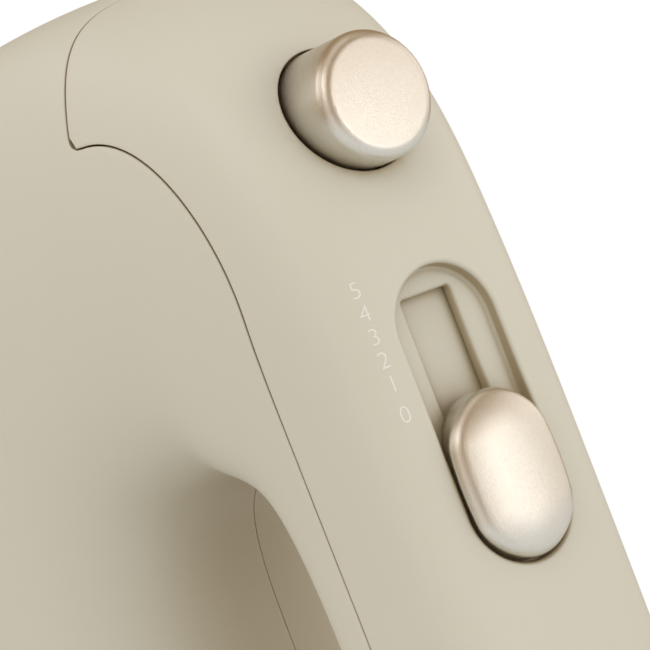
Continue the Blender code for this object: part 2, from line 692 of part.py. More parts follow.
def switch_parts():
    block_top = WIPER_TOP - WIPER_FOOT - GAP
    block_low = block_top - 4.0
    rear, front = KNOB_Z - 12.0, KNOB_Z + KNOB_TRAVEL + 12.0
    prism("switch_block", rounded(x_at(block_low), x_at(block_top), -8, 8, 0.8, 2), "z", rear, front, DARK)
    board_top = block_low - GAP
    block("switch_board", (x_at(board_top - 1.6), x_at(board_top)), (-12, 12), (rear - 22, front + 4), GREEN)
    block("speed_capacitor", (x_at(board_top + GAP), x_at(board_top + GAP + 7)), (-9, 9),
          (rear - 20, rear - 6),
          ((0.75, 0.62, 0.08), 0.4, 0.0))
    block("terminal_block", (x_at(HANDLE_UNDER + 7), x_at(HANDLE_UNDER + 17)), (-8, 8), (40, 50), NYLON)
    prism("cord_clamp", rounded(x_at(GLAND_UP - 11), x_at(GLAND_UP - 8), -7, 7, 1.0, 2), "z", 12.0, 18.0,
          GREY)


# ================= motor =================

def motor():
    centre = (MOTOR_X, 0.0)
    bore = ARMATURE_RADIUS + AIR_GAP
    stator_half = BODY_HEIGHT / 2 - WALL - STATOR_ROOM
    rear, front = STATOR_REAR, STATOR_REAR + STATOR_LENGTH
    coil = dict(inner=12.5, outer=16.5, near=15.5, far=19.5)
    corner = max(1.0, STATOR_WIDTH / 2 - (BODY_WIDTH / 2 - STATOR_SHOULDER))
    outline = rounded(MOTOR_X - stator_half, MOTOR_X + stator_half, -STATOR_WIDTH / 2, STATOR_WIDTH / 2, corner)
    stator = prism("stator_core", outline, "z", rear, front, GREY)
    cut(stator, rod("stator_bore", bore, "z", centre, rear - 5, front + 5))
    bm = bmesh.new()
    for side in (-1, 1):
        for way in (-1, 1):
            xs = sorted(MOTOR_X + way * edge for edge in (coil["inner"] - GAP, coil["outer"] + GAP))
            ys = sorted(side * edge for edge in (coil["near"] - GAP, coil["far"] + GAP))
            add_prism(bm, rectangle(*xs, *ys), "z", rear - 5, front + 5)
    cut(stator, put("stator_slots", bm))
    for name, side in (("field_coil_left", -1), ("field_coil_right", 1)):
        ys = sorted((side * coil["near"], side * coil["far"]))
        ring = prism(name, rounded(rear - 6, front + 6, MOTOR_X - coil["outer"], MOTOR_X + coil["outer"],
                                   3.0, 3),
                     "y", *ys, COPPER)
        cut(ring, prism(name + "_window", rounded(rear - 2, front + 2, MOTOR_X - coil["inner"],
                                                  MOTOR_X + coil["inner"], 1.5, 2), "y", -30, 30))
    armature(centre, rear, front)
    brackets(centre)


def armature(centre, rear, front):
    hole = SHAFT_RADIUS + GAP
    outline = []
    for k in range(ROTOR_SLOTS):
        for share, radius in ((0.0, ARMATURE_RADIUS), (0.38, ARMATURE_RADIUS), (0.40, SLOT_FLOOR_RADIUS),
                              (0.60, SLOT_FLOOR_RADIUS), (0.62, ARMATURE_RADIUS)):
            angle = math.tau * (k + share) / ROTOR_SLOTS
            outline.append((centre[0] + radius * math.cos(angle), centre[1] + radius * math.sin(angle)))
    core = prism("armature_core", outline, "z", rear - 1, front + 1, GREY)
    cut(core, rod("core_bore", hole, "z", centre, rear - 5, front + 5, sides=16))
    spans = (("rear_winding", rear - WINDING_REAR, rear - 1 - GAP),
             ("front_winding", front + 1 + GAP, front + WINDING_FRONT))
    for name, low, high in spans:
        profile = [(hole, low), (9.0, low), (11.5, low + 2), (11.5, high - 1), (10.5, high), (hole, high)]
        turned(name, profile, "z", centre, 20, COPPER)
    tube("commutator", COMMUTATOR_RADIUS, hole, "z", centre, COMMUTATOR_REAR,
         COMMUTATOR_REAR + COMMUTATOR_LENGTH, 24,
         COPPER)
    disc = tube("cooling_fan", FAN_RADIUS, hole, "z", centre, FAN_REAR, FAN_REAR + FAN_DISC, 28, DARK)
    hub = tube("fan_hub", 6.0, hole, "z", centre, FAN_REAR + FAN_DISC / 2, FAN_REAR + FAN_DEPTH, 20)
    bm = bmesh.new()
    for k in range(FAN_BLADES):
        turn = Matrix.Rotation(math.tau * k / FAN_BLADES, 4, "Z")
        blade = [(5.2, -0.6), (FAN_RADIUS - 1.0, 4.6), (FAN_RADIUS - 1.5, 6.0), (5.2, 0.8)]
        spots = [turn @ Vector((a, b, 0)) for a, b in blade]
        outline = [(centre[0] + spot.x, centre[1] + spot.y) for spot in spots]
        add_prism(bm, outline, "z", FAN_REAR + FAN_DISC / 2, FAN_REAR + FAN_DEPTH - 1.0)
    join(disc, hub, put("fan_blades", bm))


def brackets(centre):
    """The two motor bridges, their bushes, and the brush gear on the rear one."""
    width = BRACKET_HALF_WIDTH
    hole = SHAFT_RADIUS + BUSH_WALL + GAP
    spots = (("rear_bracket", "rear_bush", REAR_BRACKET_Z), ("front_bracket", "front_bush", FRONT_BRACKET_Z))
    for name, bush, low in spots:
        plate = prism(name, rounded(MOTOR_X - 13, MOTOR_X + 13, -width, width, 3.0, 3), "z", low,
                      low + BRACKET_THICK, GREY)
        cut(plate, rod(name + "_bore", hole, "z", centre, low - 5, low + 10, sides=18))
        tube(bush, hole - GAP, SHAFT_RADIUS + SHAFT_FIT, "z", centre, low - 2, low + BRACKET_THICK + 2, 18,
             BRONZE)
    mid = COMMUTATOR_REAR + COMMUTATOR_LENGTH / 2
    half = BRUSH_SIDE / 2
    for name, side in (("left", -1), ("right", 1)):
        near = COMMUTATOR_RADIUS + GAP
        block(f"carbon_brush_{name}", (MOTOR_X - half, MOTOR_X + half),
              sorted((side * near, side * (near + BRUSH_LENGTH))), (mid - half, mid + half), DARK)
        ys = sorted((side * (near + 2), side * (near + BRUSH_LENGTH + 3)))
        outer = half + GAP + 1.0
        holder = block(f"brush_holder_{name}", (MOTOR_X - outer, MOTOR_X + outer), ys,
                       (mid - outer, mid + outer),
                       BRONZE)
        cut(holder, block(f"holder_bore_{name}", (MOTOR_X - half - GAP, MOTOR_X + half + GAP), (-40, 40),
                          (mid - half - GAP, mid + half + GAP)))


# ================= gearing =================

def thread_radius(phase):
    """Radius of the worm's surface at a share of its axial pitch away from a thread's middle."""
    pitch = math.pi * MODULE
    away = abs(phase - round(phase)) * pitch
    tip, root = WORM_PITCH_RADIUS + TOOTH_RISE * MODULE, WORM_PITCH_RADIUS - MODULE
    half_tip, half_root = 0.32 * MODULE, 0.96 * MODULE
    if away <= half_tip:
        return tip
    if away >= half_root:
        return root
    return tip + (root - tip) * (away - half_tip) / (half_root - half_tip)


def worm_shaft():
    """The motor shaft with the two-start worm cut on its front end, made as rings of varying radius."""
    sides, rows = 18, 40
    lead = WORM_STARTS * math.pi * MODULE
    start, end = BEATER_Z - WORM_LENGTH / 2, BEATER_Z + WORM_LENGTH / 2
    rings = [(SHAFT_REAR, None), (start - 0.4, None)]
    rings += [(start + (end - start) * k / rows, True) for k in range(rows + 1)]
    rings += [(end + 0.4, None), (SHAFT_FRONT, None)]
    bm = bmesh.new()
    loops = []
    for z, threaded in rings:
        loop = []
        for n in range(sides):
            angle = math.tau * n / sides
            radius = SHAFT_RADIUS
            if threaded:
                phase = (z - BEATER_Z - lead * (angle + math.pi / 2) / math.tau) / (math.pi * MODULE)
                radius = max(SHAFT_RADIUS, thread_radius(phase))
            loop.append(bm.verts.new((MOTOR_X + radius * math.cos(angle), radius * math.sin(angle), z)))
        loops.append(loop)
    add_loft(bm, loops)
    return put("worm_shaft", bm, STEEL)


def worm_wheel(name, side):
    """A helical-toothed wheel whose tooth gap faces the worm at rest."""
    centre = (side * BEATER_PITCH / 2, BEATER_Z)
    tip, root = WHEEL_TIP, WHEEL_PITCH_RADIUS - 1.07 * MODULE
    half_tip, half_root = 0.33 * MODULE / tip, 0.98 * MODULE / root
    twist = WORM_STARTS * math.pi * MODULE / (math.tau * WORM_PITCH_RADIUS) / WHEEL_PITCH_RADIUS
    facing = 0.0 if side < 0 else math.pi
    layers = 3
    bm = bmesh.new()
    loops = []
    for layer in range(layers + 1):
        along = WHEEL_THICK * (layer / layers - 0.5)
        loop = []
        for tooth in range(WHEEL_TEETH):
            middle = facing + math.tau * (tooth + 0.5) / WHEEL_TEETH + twist * along
            for angle, radius in ((-half_root, root), (-half_tip, tip), (half_tip, tip), (half_root, root)):
                turn = middle + angle
                loop.append(bm.verts.new((MOTOR_X + along, centre[0] + radius * math.cos(turn),
                                          centre[1] + radius * math.sin(turn))))
        loops.append(loop)
    add_loft(bm, loops)
    wheel = put(name, bm, NYLON)
    hub = rod(name + "_hub", HUB_RADIUS, "x", centre, x_at(CASE_LOW + CASE_FLOOR + GAP),
              x_at(MOTOR_UP + 6.0), sides=22)
    nose = rod(name + "_nose", HUB_RADIUS - 1.0, "x", centre, x_at(CASE_LOW - 1.0), x_at(MOTOR_UP), sides=20)
    join(wheel, hub, nose)
    bore = rod(name + "_bore", SPINDLE_RADIUS + SPINDLE_CLEARANCE, "x", centre, x_at(0), x_at(60), sides=18)
    return cut(wheel, bore)


def gear_case():
    half = BEATER_PITCH / 2
    room, outer = WHEEL_TIP + WHEEL_ROOM, CASE_RADIUS

    def outline(radius):
        # (y, z) points, long way along y
        right = arc((half, BEATER_Z), (radius, radius), -90, 90, 14)
        left = arc((-half, BEATER_Z), (radius, radius), 90, 270, 14)
        return right + left

    case = prism("gear_case", outline(outer), "x", x_at(CASE_LOW), x_at(CASE_TOP), NYLON)
    cut(case, prism("case_room", outline(room), "x", x_at(CASE_LOW + CASE_FLOOR), x_at(CASE_TOP + 5)))
    cut(case, rod("case_shaft_hole", SHAFT_RADIUS + 3.4, "z", (MOTOR_X, 0), BEATER_Z - 40, BEATER_Z + 40,
                  sides=20))
    for k, side in enumerate((-1, 1)):
        cut(case, rod(f"case_bore_{k}", HUB_RADIUS - 1.0 + GAP, "x", (side * half, BEATER_Z), x_at(0),
                      x_at(MOTOR_UP), sides=20))
    lid = prism("gear_cover", outline(outer), "x", x_at(CASE_TOP + GAP), x_at(CASE_TOP + GAP + LID_THICK),
                GREY)
    for k, side in enumerate((-1, 1)):
        cut(lid, rod(f"lid_bore_{k}", SPINDLE_RADIUS + WHEEL_ROOM, "x", (side * half, BEATER_Z), x_at(0), x_at(90),
                     sides=16))
    front = BEATER_Z + room + CASE_WALL
    tube("thrust_bush", SHAFT_RADIUS + 3.0, SHAFT_RADIUS + SHAFT_FIT, "z", (MOTOR_X, 0), front - CASE_WALL - 0.5,
         front + 1.5, 18, BRONZE)


# ================= beaters =================

def beater(name, side, start_angle):
    """A spindle with two drive ears, a collar, and two crossed strips bent to a round cage."""
    centre = (side * BEATER_PITCH / 2, BEATER_Z)
    bottom = x_at(-BEATER_REACH)
    cage_top = bottom + CAGE_HEIGHT
    profile = [(0, cage_top - 4.0), (COLLAR_RADIUS, cage_top - 4.0),
               (COLLAR_RADIUS, cage_top + COLLAR_LENGTH - 6.0),
               (SPINDLE_RADIUS, cage_top + COLLAR_LENGTH - 4.0), (SPINDLE_RADIUS, x_at(-14.0)),
               (COLLAR_RADIUS, x_at(-13.0)), (COLLAR_RADIUS, x_at(-11.0)), (SPINDLE_RADIUS, x_at(-10.0)),
               (SPINDLE_RADIUS, x_at(SPINDLE_TOP - 1.0)), (SPINDLE_RADIUS - 0.8, x_at(SPINDLE_TOP)),
               (0, x_at(SPINDLE_TOP))]
    spindle = turned(name, profile, "x", centre, 16, STEEL)
    for k in range(2):
        join(spindle, strip(f"{name}_strip_{k}", centre, start_angle + 90.0 * k, bottom + 0.5 * k,
                            cage_top - 0.5 * k))
    return spindle


def strip(name, centre, angle, bottom, top):
    """One bent strip: down from the collar, out to the cage radius, in under the bottom and up again."""
    radius = BEATER_RADIUS
    half_thick = STRIP_THICK / 2
    shoulder, foot = CAGE_SHOULDER, CAGE_FOOT
    middle = [(1.5, top)] + arc((radius - shoulder, top - shoulder), (shoulder, shoulder), 90, 0, 4)
    middle += arc((radius - foot, bottom + foot + half_thick), (foot, foot), 0, -90, 5)
    middle += [(0.0, bottom + half_thick)]
    path = middle + [(-out, along) for out, along in reversed(middle[:-1])]
    points = np.array(path)
    tangent = np.gradient(points, axis=0)
    tangent /= np.linalg.norm(tangent, axis=1)[:, None]
    normal = np.stack([-tangent[:, 1], tangent[:, 0]], 1)
    turn = math.radians(angle)
    radial = Vector((0, math.cos(turn), math.sin(turn)))
    across = Vector((0, -math.sin(turn), math.cos(turn)))
    bm = bmesh.new()
    rings = []
    for (out, along), (n_out, n_along) in zip(points, normal):
        ring = []
        for way, wide in ((-1, -1), (1, -1), (1, 1), (-1, 1)):
            offset_out = out + way * half_thick * n_out
            offset_along = along + way * half_thick * n_along
            spot = Vector((offset_along, centre[0],
                           centre[1])) + radial * offset_out + across * wide * STRIP_WIDTH / 2
            ring.append(bm.verts.new(spot))
        rings.append(ring)
    add_loft(bm, rings)
    return put(name, bm)


# ================= assembly =================

def clear_scene():
    for item in list(bpy.data.objects):
        bpy.data.objects.remove(item, do_unlink=True)


def build():
    clear_scene()
    housing_half("housing_left", -1)
    housing_half("housing_right", 1)
    handle_cover()
    heel_pad()
    cord_gland()
    socket_ring("left_socket_ring", -1)
    socket_ring("right_socket_ring", 1)
    screws()
    eject_button()
    button_guide()
    push_rod()
    ejector_yoke()
    eject_spring()
    speed_knob()
    slider_shutter()
    contact_wiper()
    switch_parts()
    motor()
    worm_shaft()
    worm_wheel("gear_left", -1)
    worm_wheel("gear_right", 1)
    gear_case()
    beater("beater_left", -1, 0.0)
    beater("beater_right", 1, 45.0)


build()
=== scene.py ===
# %% [markdown]
# # A hand mixer, standing on its heel
# The mixer is a moulded shell bent round a finger gap, with a seam under the handle cover, a round metal
# eject button, a metal speed knob in a shallow pocket, and two wire beaters. The working model is already
# there as a frame of plain solids; this lesson gives every visible piece its real surface and finish.
# It opens with the frame, because every place and size further on comes from it.

# %% Load the frame
import json
import math
import bmesh
import bpy
import numpy as np
from mathutils import Matrix, Vector
from mathutils.bvhtree import BVHTree


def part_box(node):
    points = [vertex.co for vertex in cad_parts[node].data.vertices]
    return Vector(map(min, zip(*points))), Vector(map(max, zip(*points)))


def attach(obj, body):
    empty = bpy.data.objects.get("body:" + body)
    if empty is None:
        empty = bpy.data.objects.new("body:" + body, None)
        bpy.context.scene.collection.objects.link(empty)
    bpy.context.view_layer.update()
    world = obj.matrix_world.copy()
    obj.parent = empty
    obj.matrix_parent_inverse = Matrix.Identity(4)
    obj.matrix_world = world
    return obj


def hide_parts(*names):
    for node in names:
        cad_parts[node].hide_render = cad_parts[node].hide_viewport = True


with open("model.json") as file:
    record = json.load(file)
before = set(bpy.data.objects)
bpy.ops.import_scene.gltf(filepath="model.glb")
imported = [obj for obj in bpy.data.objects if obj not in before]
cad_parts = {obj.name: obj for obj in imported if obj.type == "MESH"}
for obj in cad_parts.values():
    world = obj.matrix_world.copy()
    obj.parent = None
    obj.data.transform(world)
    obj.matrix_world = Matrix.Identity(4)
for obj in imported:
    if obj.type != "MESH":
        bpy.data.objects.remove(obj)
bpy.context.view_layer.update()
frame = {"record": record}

# %% [markdown]
# ## Sizes
# The script works in metres, and MM turns a millimetre into one. Heights "up" run from the bottom of the
# housing to the handle, so x = up - ORIGIN_UP, and "nose" is the distance from the heel pad to the nose.
# The places of the button, the knob and the beaters are read from the frame, so they cannot drift from it.

# %% Sizes and places
MM = 0.001
ORIGIN_UP = 42 * MM
BODY_HEIGHT = 69.5 * MM
HANDLE_UNDER = 107 * MM
HEIGHT = 141 * MM
LENGTH = 203 * MM
HALF_BODY = 41 * MM
HALF_NOSE = 38.95 * MM
HALF_HANDLE = 21 * MM
WALL = 2.0 * MM


def middle(node):
    """The centre of a node's box."""
    low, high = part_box(node)
    return (Vector(low) + Vector(high)) / 2


def corner(node, high, axis):
    """One coordinate of a node's box."""
    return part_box(node)[1 if high else 0][axis]


BUTTON_Z = middle("eject_button").z
BEATER_Z = middle("gear_left").z
BEATER_Y = middle("gear_right").y
KNOB_Z = middle("speed_knob").z
print("button at", round(BUTTON_Z, 4), "beaters at", round(BEATER_Y, 4), round(BEATER_Z, 4))

# %% [markdown]
# ## Camera
# The view is a close one of the upper front, almost without perspective, so a long lens stands well away.
# The camera is built from the three directions of its own frame: right, up, and towards the camera.

# %% Camera
AIM = Vector((92 * MM, -17.1 * MM, 140 * MM))
VIEW_RIGHT = Vector((0.537, 0.762, -0.360))
VIEW_UP = Vector((0.225, 0.282, 0.933))
CAMERA_DISTANCE = 0.8
VIEW_WIDTH = 0.1
SENSOR = 36.0

VIEW_RIGHT.normalize()
view_back = VIEW_RIGHT.cross(VIEW_UP).normalized()
view_up = view_back.cross(VIEW_RIGHT)
camera_data = bpy.data.cameras.new("camera")
camera_data.sensor_width = SENSOR
camera_data.lens = SENSOR * CAMERA_DISTANCE / VIEW_WIDTH
camera = bpy.data.objects.new("camera", camera_data)
bpy.context.scene.collection.objects.link(camera)
turn = Matrix((VIEW_RIGHT, view_up, view_back)).transposed().to_4x4()
camera.matrix_world = Matrix.Translation(AIM + view_back * CAMERA_DISTANCE) @ turn
bpy.context.scene.camera = camera

# %% [markdown]
# ## Shared shader effects
# Moulded plastic and blasted metal both have a fine grain, and both change colour a little over a hand's
# width. Each of these effects is one node group with named inputs, placed in every material that needs it
# with its own numbers. A third effect finds where the surface lies deep in a hollow, so that painted shade
# can darken and warm the colour there. A group only puts out masks and values; the shader itself stays in
# the material.

# %% Node groups


def new_group(name, inputs, outputs):
    """An empty shader node group with float inputs (name, default) and outputs (name, kind)."""
    group = bpy.data.node_groups.new(name, "ShaderNodeTree")
    for label, default in inputs:
        socket = group.interface.new_socket(label, in_out="INPUT", socket_type="NodeSocketFloat")
        socket.default_value = default
    for label, kind in outputs:
        group.interface.new_socket(label, in_out="OUTPUT", socket_type=kind)
    return group, group.nodes.new("NodeGroupInput"), group.nodes.new("NodeGroupOutput")


def add(tree, kind, links=None, **settings):
    """A node with its settings and input values; links maps an input to a socket that feeds it."""
    node = tree.nodes.new(kind)
    for name, value in settings.items():
        setattr(node, name, value)
    for key, source in (links or {}).items():
        if isinstance(source, bpy.types.NodeSocket):
            tree.links.new(source, node.inputs[key])
        else:
            node.inputs[key].default_value = source
    return node


def grain_group():
    """Fine moulding grain: a height for a Bump node, and a speckle mask for roughness."""
    group, inward, outward = new_group("fine_grain", [("Scale", 1500.0), ("Coarse Scale", 60.0)],
                                       [("Height", "NodeSocketFloat"), ("Speckle", "NodeSocketFloat")])
    place = add(group, "ShaderNodeTexCoord")
    fine = add(group, "ShaderNodeTexNoise", {"Vector": place.outputs["Object"],
                                             "Scale": inward.outputs["Scale"], "Detail": 3.0,
                                             "Roughness": 0.6})
    broad = add(group, "ShaderNodeTexNoise", {"Vector": place.outputs["Object"],
                                              "Scale": inward.outputs["Coarse Scale"], "Detail": 2.0})
    group.links.new(fine.outputs["Fac"], outward.inputs["Height"])
    group.links.new(broad.outputs["Fac"], outward.inputs["Speckle"])
    return group


def tone_group():
    """A slow drift between 0 and 1 over the piece, for small differences of colour."""
    group, inward, outward = new_group("slow_tone", [("Scale", 12.0), ("Contrast", 1.0)],
                                       [("Tone", "NodeSocketFloat")])
    place = add(group, "ShaderNodeTexCoord")
    cloud = add(group, "ShaderNodeTexNoise", {"Vector": place.outputs["Object"],
                                              "Scale": inward.outputs["Scale"], "Detail": 1.0})
    centred = add(group, "ShaderNodeMath", {0: cloud.outputs["Fac"], 1: 0.5}, operation="SUBTRACT")
    grown = add(group, "ShaderNodeMath", {0: centred.outputs[0], 1: inward.outputs["Contrast"]},
                operation="MULTIPLY")
    level = add(group, "ShaderNodeMath", {0: grown.outputs[0], 1: 0.5}, operation="ADD", use_clamp=True)
    group.links.new(level.outputs[0], outward.inputs["Tone"])
    return group


def hollow_group():
    """Painted shade mask: 1 where little of the sky within Reach is in sight, 0 in the open."""
    group, inward, outward = new_group("painted_hollow_shade", [("Reach", 0.06), ("Open", 0.80), ("Shut", 0.40)],
                                       [("Depth", "NodeSocketFloat")])
    sky = add(group, "ShaderNodeAmbientOcclusion", {"Distance": inward.outputs["Reach"]}, samples=12)
    level = add(group, "ShaderNodeMapRange", {"Value": sky.outputs["AO"], "From Min": inward.outputs["Open"],
                                              "From Max": inward.outputs["Shut"]},
                interpolation_type="SMOOTHSTEP")
    group.links.new(level.outputs["Result"], outward.inputs["Depth"])
    return group


GRAIN = grain_group()
TONE = tone_group()
HOLLOW_SHADE = hollow_group()
print("node groups", GRAIN.name, TONE.name, HOLLOW_SHADE.name)

# %% [markdown]
# ## A material from its numbers
# All the finishes share one layout: two close colours mixed by the slow tone, a roughness that wanders
# between two limits, and a grain bump. What tells cream plastic from champagne metal is in the numbers.

# %% Material maker


def finish(name, colours, rough, metallic=0.0, grain=(1500.0, 0.02), tone=(12.0, 1.6), coarse=60.0,
           hollow_shade=None):
    """A procedural material: colours and rough are (low, high); grain is (scale, bump strength).

    The last argument is painted shade: a tint that the colour is multiplied by where the surface lies deep in
    a hollow.
    """
    made = bpy.data.materials.new(name)
    made.use_nodes = True
    tree = made.node_tree
    shader = tree.nodes["Principled BSDF"]
    drift = add(tree, "ShaderNodeGroup", node_tree=TONE)
    drift.inputs["Scale"].default_value, drift.inputs["Contrast"].default_value = tone
    skin_grain = add(tree, "ShaderNodeGroup", node_tree=GRAIN)
    skin_grain.inputs["Scale"].default_value = grain[0]
    skin_grain.inputs["Coarse Scale"].default_value = coarse
    blend = add(tree, "ShaderNodeMix", {"Factor": drift.outputs["Tone"]}, data_type="RGBA")
    blend.inputs["A"].default_value = (*colours[0], 1.0)
    blend.inputs["B"].default_value = (*colours[1], 1.0)
    spread = add(tree, "ShaderNodeMapRange", {"Value": skin_grain.outputs["Speckle"], "From Min": 0.3,
                                              "From Max": 0.7, "To Min": rough[0], "To Max": rough[1]})
    bump = add(tree, "ShaderNodeBump", {"Height": skin_grain.outputs["Height"], "Strength": grain[1],
                                        "Distance": 0.05 * MM})
    colour = blend.outputs["Result"]
    # Painted shade: where the surface lies deep in a hollow, the colour is multiplied by a darker, warmer
    # tint.
    if hollow_shade:
        hollow = add(tree, "ShaderNodeGroup", node_tree=HOLLOW_SHADE)
        shaded_colour = add(tree, "ShaderNodeMix", {"Factor": hollow.outputs["Depth"]}, data_type="RGBA",
                     blend_type="MULTIPLY")
        tree.links.new(colour, shaded_colour.inputs["A"])
        shaded_colour.inputs["B"].default_value = (*hollow_shade, 1.0)
        colour = shaded_colour.outputs["Result"]
    tree.links.new(colour, shader.inputs["Base Color"])
    tree.links.new(spread.outputs["Result"], shader.inputs["Roughness"])
    tree.links.new(bump.outputs["Normal"], shader.inputs["Normal"])
    shader.inputs["Metallic"].default_value = metallic
    return made


# The cream plastic is given painted shade: a brown tint deep in the finger gap and other hollows.
CREAM = finish("cream_plastic", ((0.545, 0.512, 0.415), (0.575, 0.540, 0.440)), (0.46, 0.54),
               grain=(1800.0, 0.25), hollow_shade=(0.66, 0.55, 0.40))
CHAMPAGNE = finish("champagne_metal", ((0.68, 0.66, 0.605), (0.73, 0.71, 0.655)), (0.28, 0.36), metallic=1.0,
                   grain=(6500.0, 0.8), tone=(2500.0, 1.6), coarse=3000.0)
GREY = finish("grey_plastic", ((0.30, 0.30, 0.29), (0.36, 0.36, 0.35)), (0.42, 0.52), grain=(1800.0, 0.3))
RUBBER = finish("dark_rubber", ((0.035, 0.034, 0.033), (0.055, 0.053, 0.05)), (0.7, 0.85),
                grain=(2500.0, 0.5))
NYLON = finish("nylon", ((0.72, 0.70, 0.62), (0.80, 0.78, 0.70)), (0.38, 0.48), grain=(1500.0, 0.2))
STEEL = finish("steel", ((0.60, 0.60, 0.60), (0.68, 0.68, 0.68)), (0.14, 0.24), metallic=1.0,
               grain=(2200.0, 0.1))
LAMINATIONS = finish("laminations", ((0.20, 0.20, 0.22), (0.28, 0.28, 0.30)), (0.4, 0.6), metallic=0.6,
                     grain=(900.0, 0.6))
COPPER = finish("copper", ((0.62, 0.24, 0.10), (0.74, 0.34, 0.17)), (0.25, 0.4), metallic=1.0,
                grain=(1200.0, 0.6))
BRONZE = finish("bronze", ((0.52, 0.36, 0.17), (0.62, 0.44, 0.22)), (0.35, 0.5), metallic=1.0,
                grain=(3000.0, 0.4))
CARBON = finish("carbon", ((0.02, 0.02, 0.02), (0.04, 0.04, 0.04)), (0.5, 0.7), grain=(3000.0, 0.4))
BOARD = finish("board", ((0.03, 0.18, 0.08), (0.05, 0.24, 0.11)), (0.35, 0.5), grain=(700.0, 0.3))
FILM = finish("film", ((0.72, 0.58, 0.06), (0.80, 0.66, 0.10)), (0.25, 0.35), grain=(900.0, 0.1))
PRINT = finish("digit_print", ((0.68, 0.66, 0.59), (0.72, 0.70, 0.63)), (0.45, 0.55), grain=(1500.0, 0.1))
SLOT_FINISH = {"cream_plastic": CREAM, "champagne_metal": CHAMPAGNE, "grey_plastic": GREY,
               "dark_rubber": RUBBER, "nylon": NYLON, "steel": STEEL, "laminations": LAMINATIONS,
               "copper": COPPER, "bronze": BRONZE, "carbon": CARBON, "board": BOARD, "film": FILM}
print("finishes", len(SLOT_FINISH) + 1)

# %% [markdown]
# ## From a bmesh to a piece
# Every piece is made as a bmesh, and then named, given its finish, and tied to the body that it moves with.

# %% Piece maker


def piece(name, bm, look, body, replaced=(), sharp=38.0):
    """Turn a bmesh into a smooth-shaded object that rides on a body and stands for the replaced nodes."""
    bmesh.ops.remove_doubles(bm, verts=bm.verts, dist=1e-7)
    bmesh.ops.recalc_face_normals(bm, faces=bm.faces)
    mesh = bpy.data.meshes.new(name)
    bm.to_mesh(mesh)
    bm.free()
    mesh.materials.append(look)
    mesh.shade_smooth()
    mesh.set_sharp_from_angle(angle=math.radians(sharp))
    made = bpy.data.objects.new(name, mesh)
    bpy.context.scene.collection.objects.link(made)
    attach(made, body)
    if replaced:
        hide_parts(*replaced)
    return made


# %% [markdown]
# ## The skin
# The housing is one smooth closed surface, like a ring pulled out of shape. Cross-sections stand round the
# finger gap, each a handful of control points from its inner point at the gap to its outer point, and a
# closed cubic B-spline runs through them both ways. It has no seams or poles, so the reflections are clean.

# %% Skin control net
GRIP = ((0.00, 0.60), (0.07, 1.00), (0.30, 1.03), (0.65, 1.02), (0.94, 0.94), (0.985, 0.48))
CROWN = ((0.00, 0.50), (0.06, 0.90), (0.30, 1.03), (0.61, 1.02), (0.90, 0.90), (0.985, 0.50))
BROW = ((0.00, 0.33), (0.07, 0.72), (0.33, 0.98), (0.62, 1.04), (0.92, 0.86), (0.985, 0.48))
SNOUT = ((0.00, 0.33), (0.07, 0.72), (0.33, 0.98), (0.63, 1.04), (0.96, 0.92), (1.00, 0.60))
BARREL = ((0.00, 0.30), (0.06, 0.66), (0.26, 1.00), (0.62, 1.03), (0.93, 0.86), (1.00, 0.48))


def section_net():
    """Control points in millimetres: rows run round the finger gap, columns round the shell."""
    under, top, floor, nose = HANDLE_UNDER / MM, HEIGHT / MM, BODY_HEIGHT / MM - 0.5, LENGTH / MM
    grip, half, snout = HALF_HANDLE / MM, HALF_BODY / MM, HALF_NOSE / MM
    sections = (  # inner (z, up), outer (z, up), half width, fullness
        ((50, under), (44, top), grip - 0.5, GRIP),
        ((nose - 127, under), (nose - 129, top + 0.5), grip, GRIP),
        ((nose - 105, under), (nose - 103, top + 0.5), grip, GRIP),
        ((nose - 92, under - 1.5), (nose - 78, top + 0.4), grip + 0.3, GRIP),
        ((nose - 85, under - 6), (nose - 50, top + 0.6), grip + 1.6, CROWN),
        ((nose - 81, under - 13), (nose - 20.5, top - 6.3), half * 0.646, CROWN),
        ((nose - 80, under - 19), (nose + 0.8, top - 28), snout * 0.771, BROW),
        ((nose - 80, under - 27), (nose + 0.5, top - 61), snout * 0.873, SNOUT),
        ((nose - 84, floor + 3.5), (nose - 5, 26), snout, SNOUT),
        ((nose - 94, floor + 0.2), (nose - 35, 0), (snout + half) / 2, BARREL),
        ((nose - 109, floor), (nose - 73, -1), half, BARREL),
        ((nose - 127, floor), (nose - 115, -1), half, BARREL),
        ((52, floor), (48, -1), half * 0.976, BARREL),
        ((34, floor + 1.5), (6, 0), half * 0.902, BARREL),
        ((24, floor + 8.5), (-1, 22), half * 0.829, BARREL),
        ((21, floor + 18.5), (-1, 70), half * 0.732, SNOUT),
        ((23, under - 8), (3, top - 28), grip + 3, GRIP),
        ((33, under - 1), (17, top - 2), grip, GRIP),
    )
    rows = []
    for inner, outer, width, fullness in sections:
        inner, outer = np.array(inner, float), np.array(outer, float)
        side = [(share, out * width) for share, out in fullness]
        ring = [(0.0, 0.0)] + side + [(1.0, 0.0)] + [(share, -out) for share, out in reversed(side)]
        rows.append([(p[1] - ORIGIN_UP / MM, out, p[0])
                     for p, out in ((inner + (outer - inner) * share, out) for share, out in ring)])
    return np.array(rows) * MM


NET = section_net()
NET_ROWS, NET_COLUMNS = NET.shape[:2]
print("control net", NET_ROWS, "by", NET_COLUMNS)

# %% Points on the skin


def weights(t):
    """Cubic B-spline weights of the four control points round a place, and their slopes."""
    value = np.stack([(1 - t) ** 3, 3 * t ** 3 - 6 * t ** 2 + 4,
                      -3 * t ** 3 + 3 * t ** 2 + 3 * t + 1, t ** 3], -1)
    slope = np.stack([-3 * (1 - t) ** 2, 9 * t ** 2 - 12 * t, -9 * t ** 2 + 6 * t + 3, 3 * t ** 2], -1)
    return value / 6, slope / 6


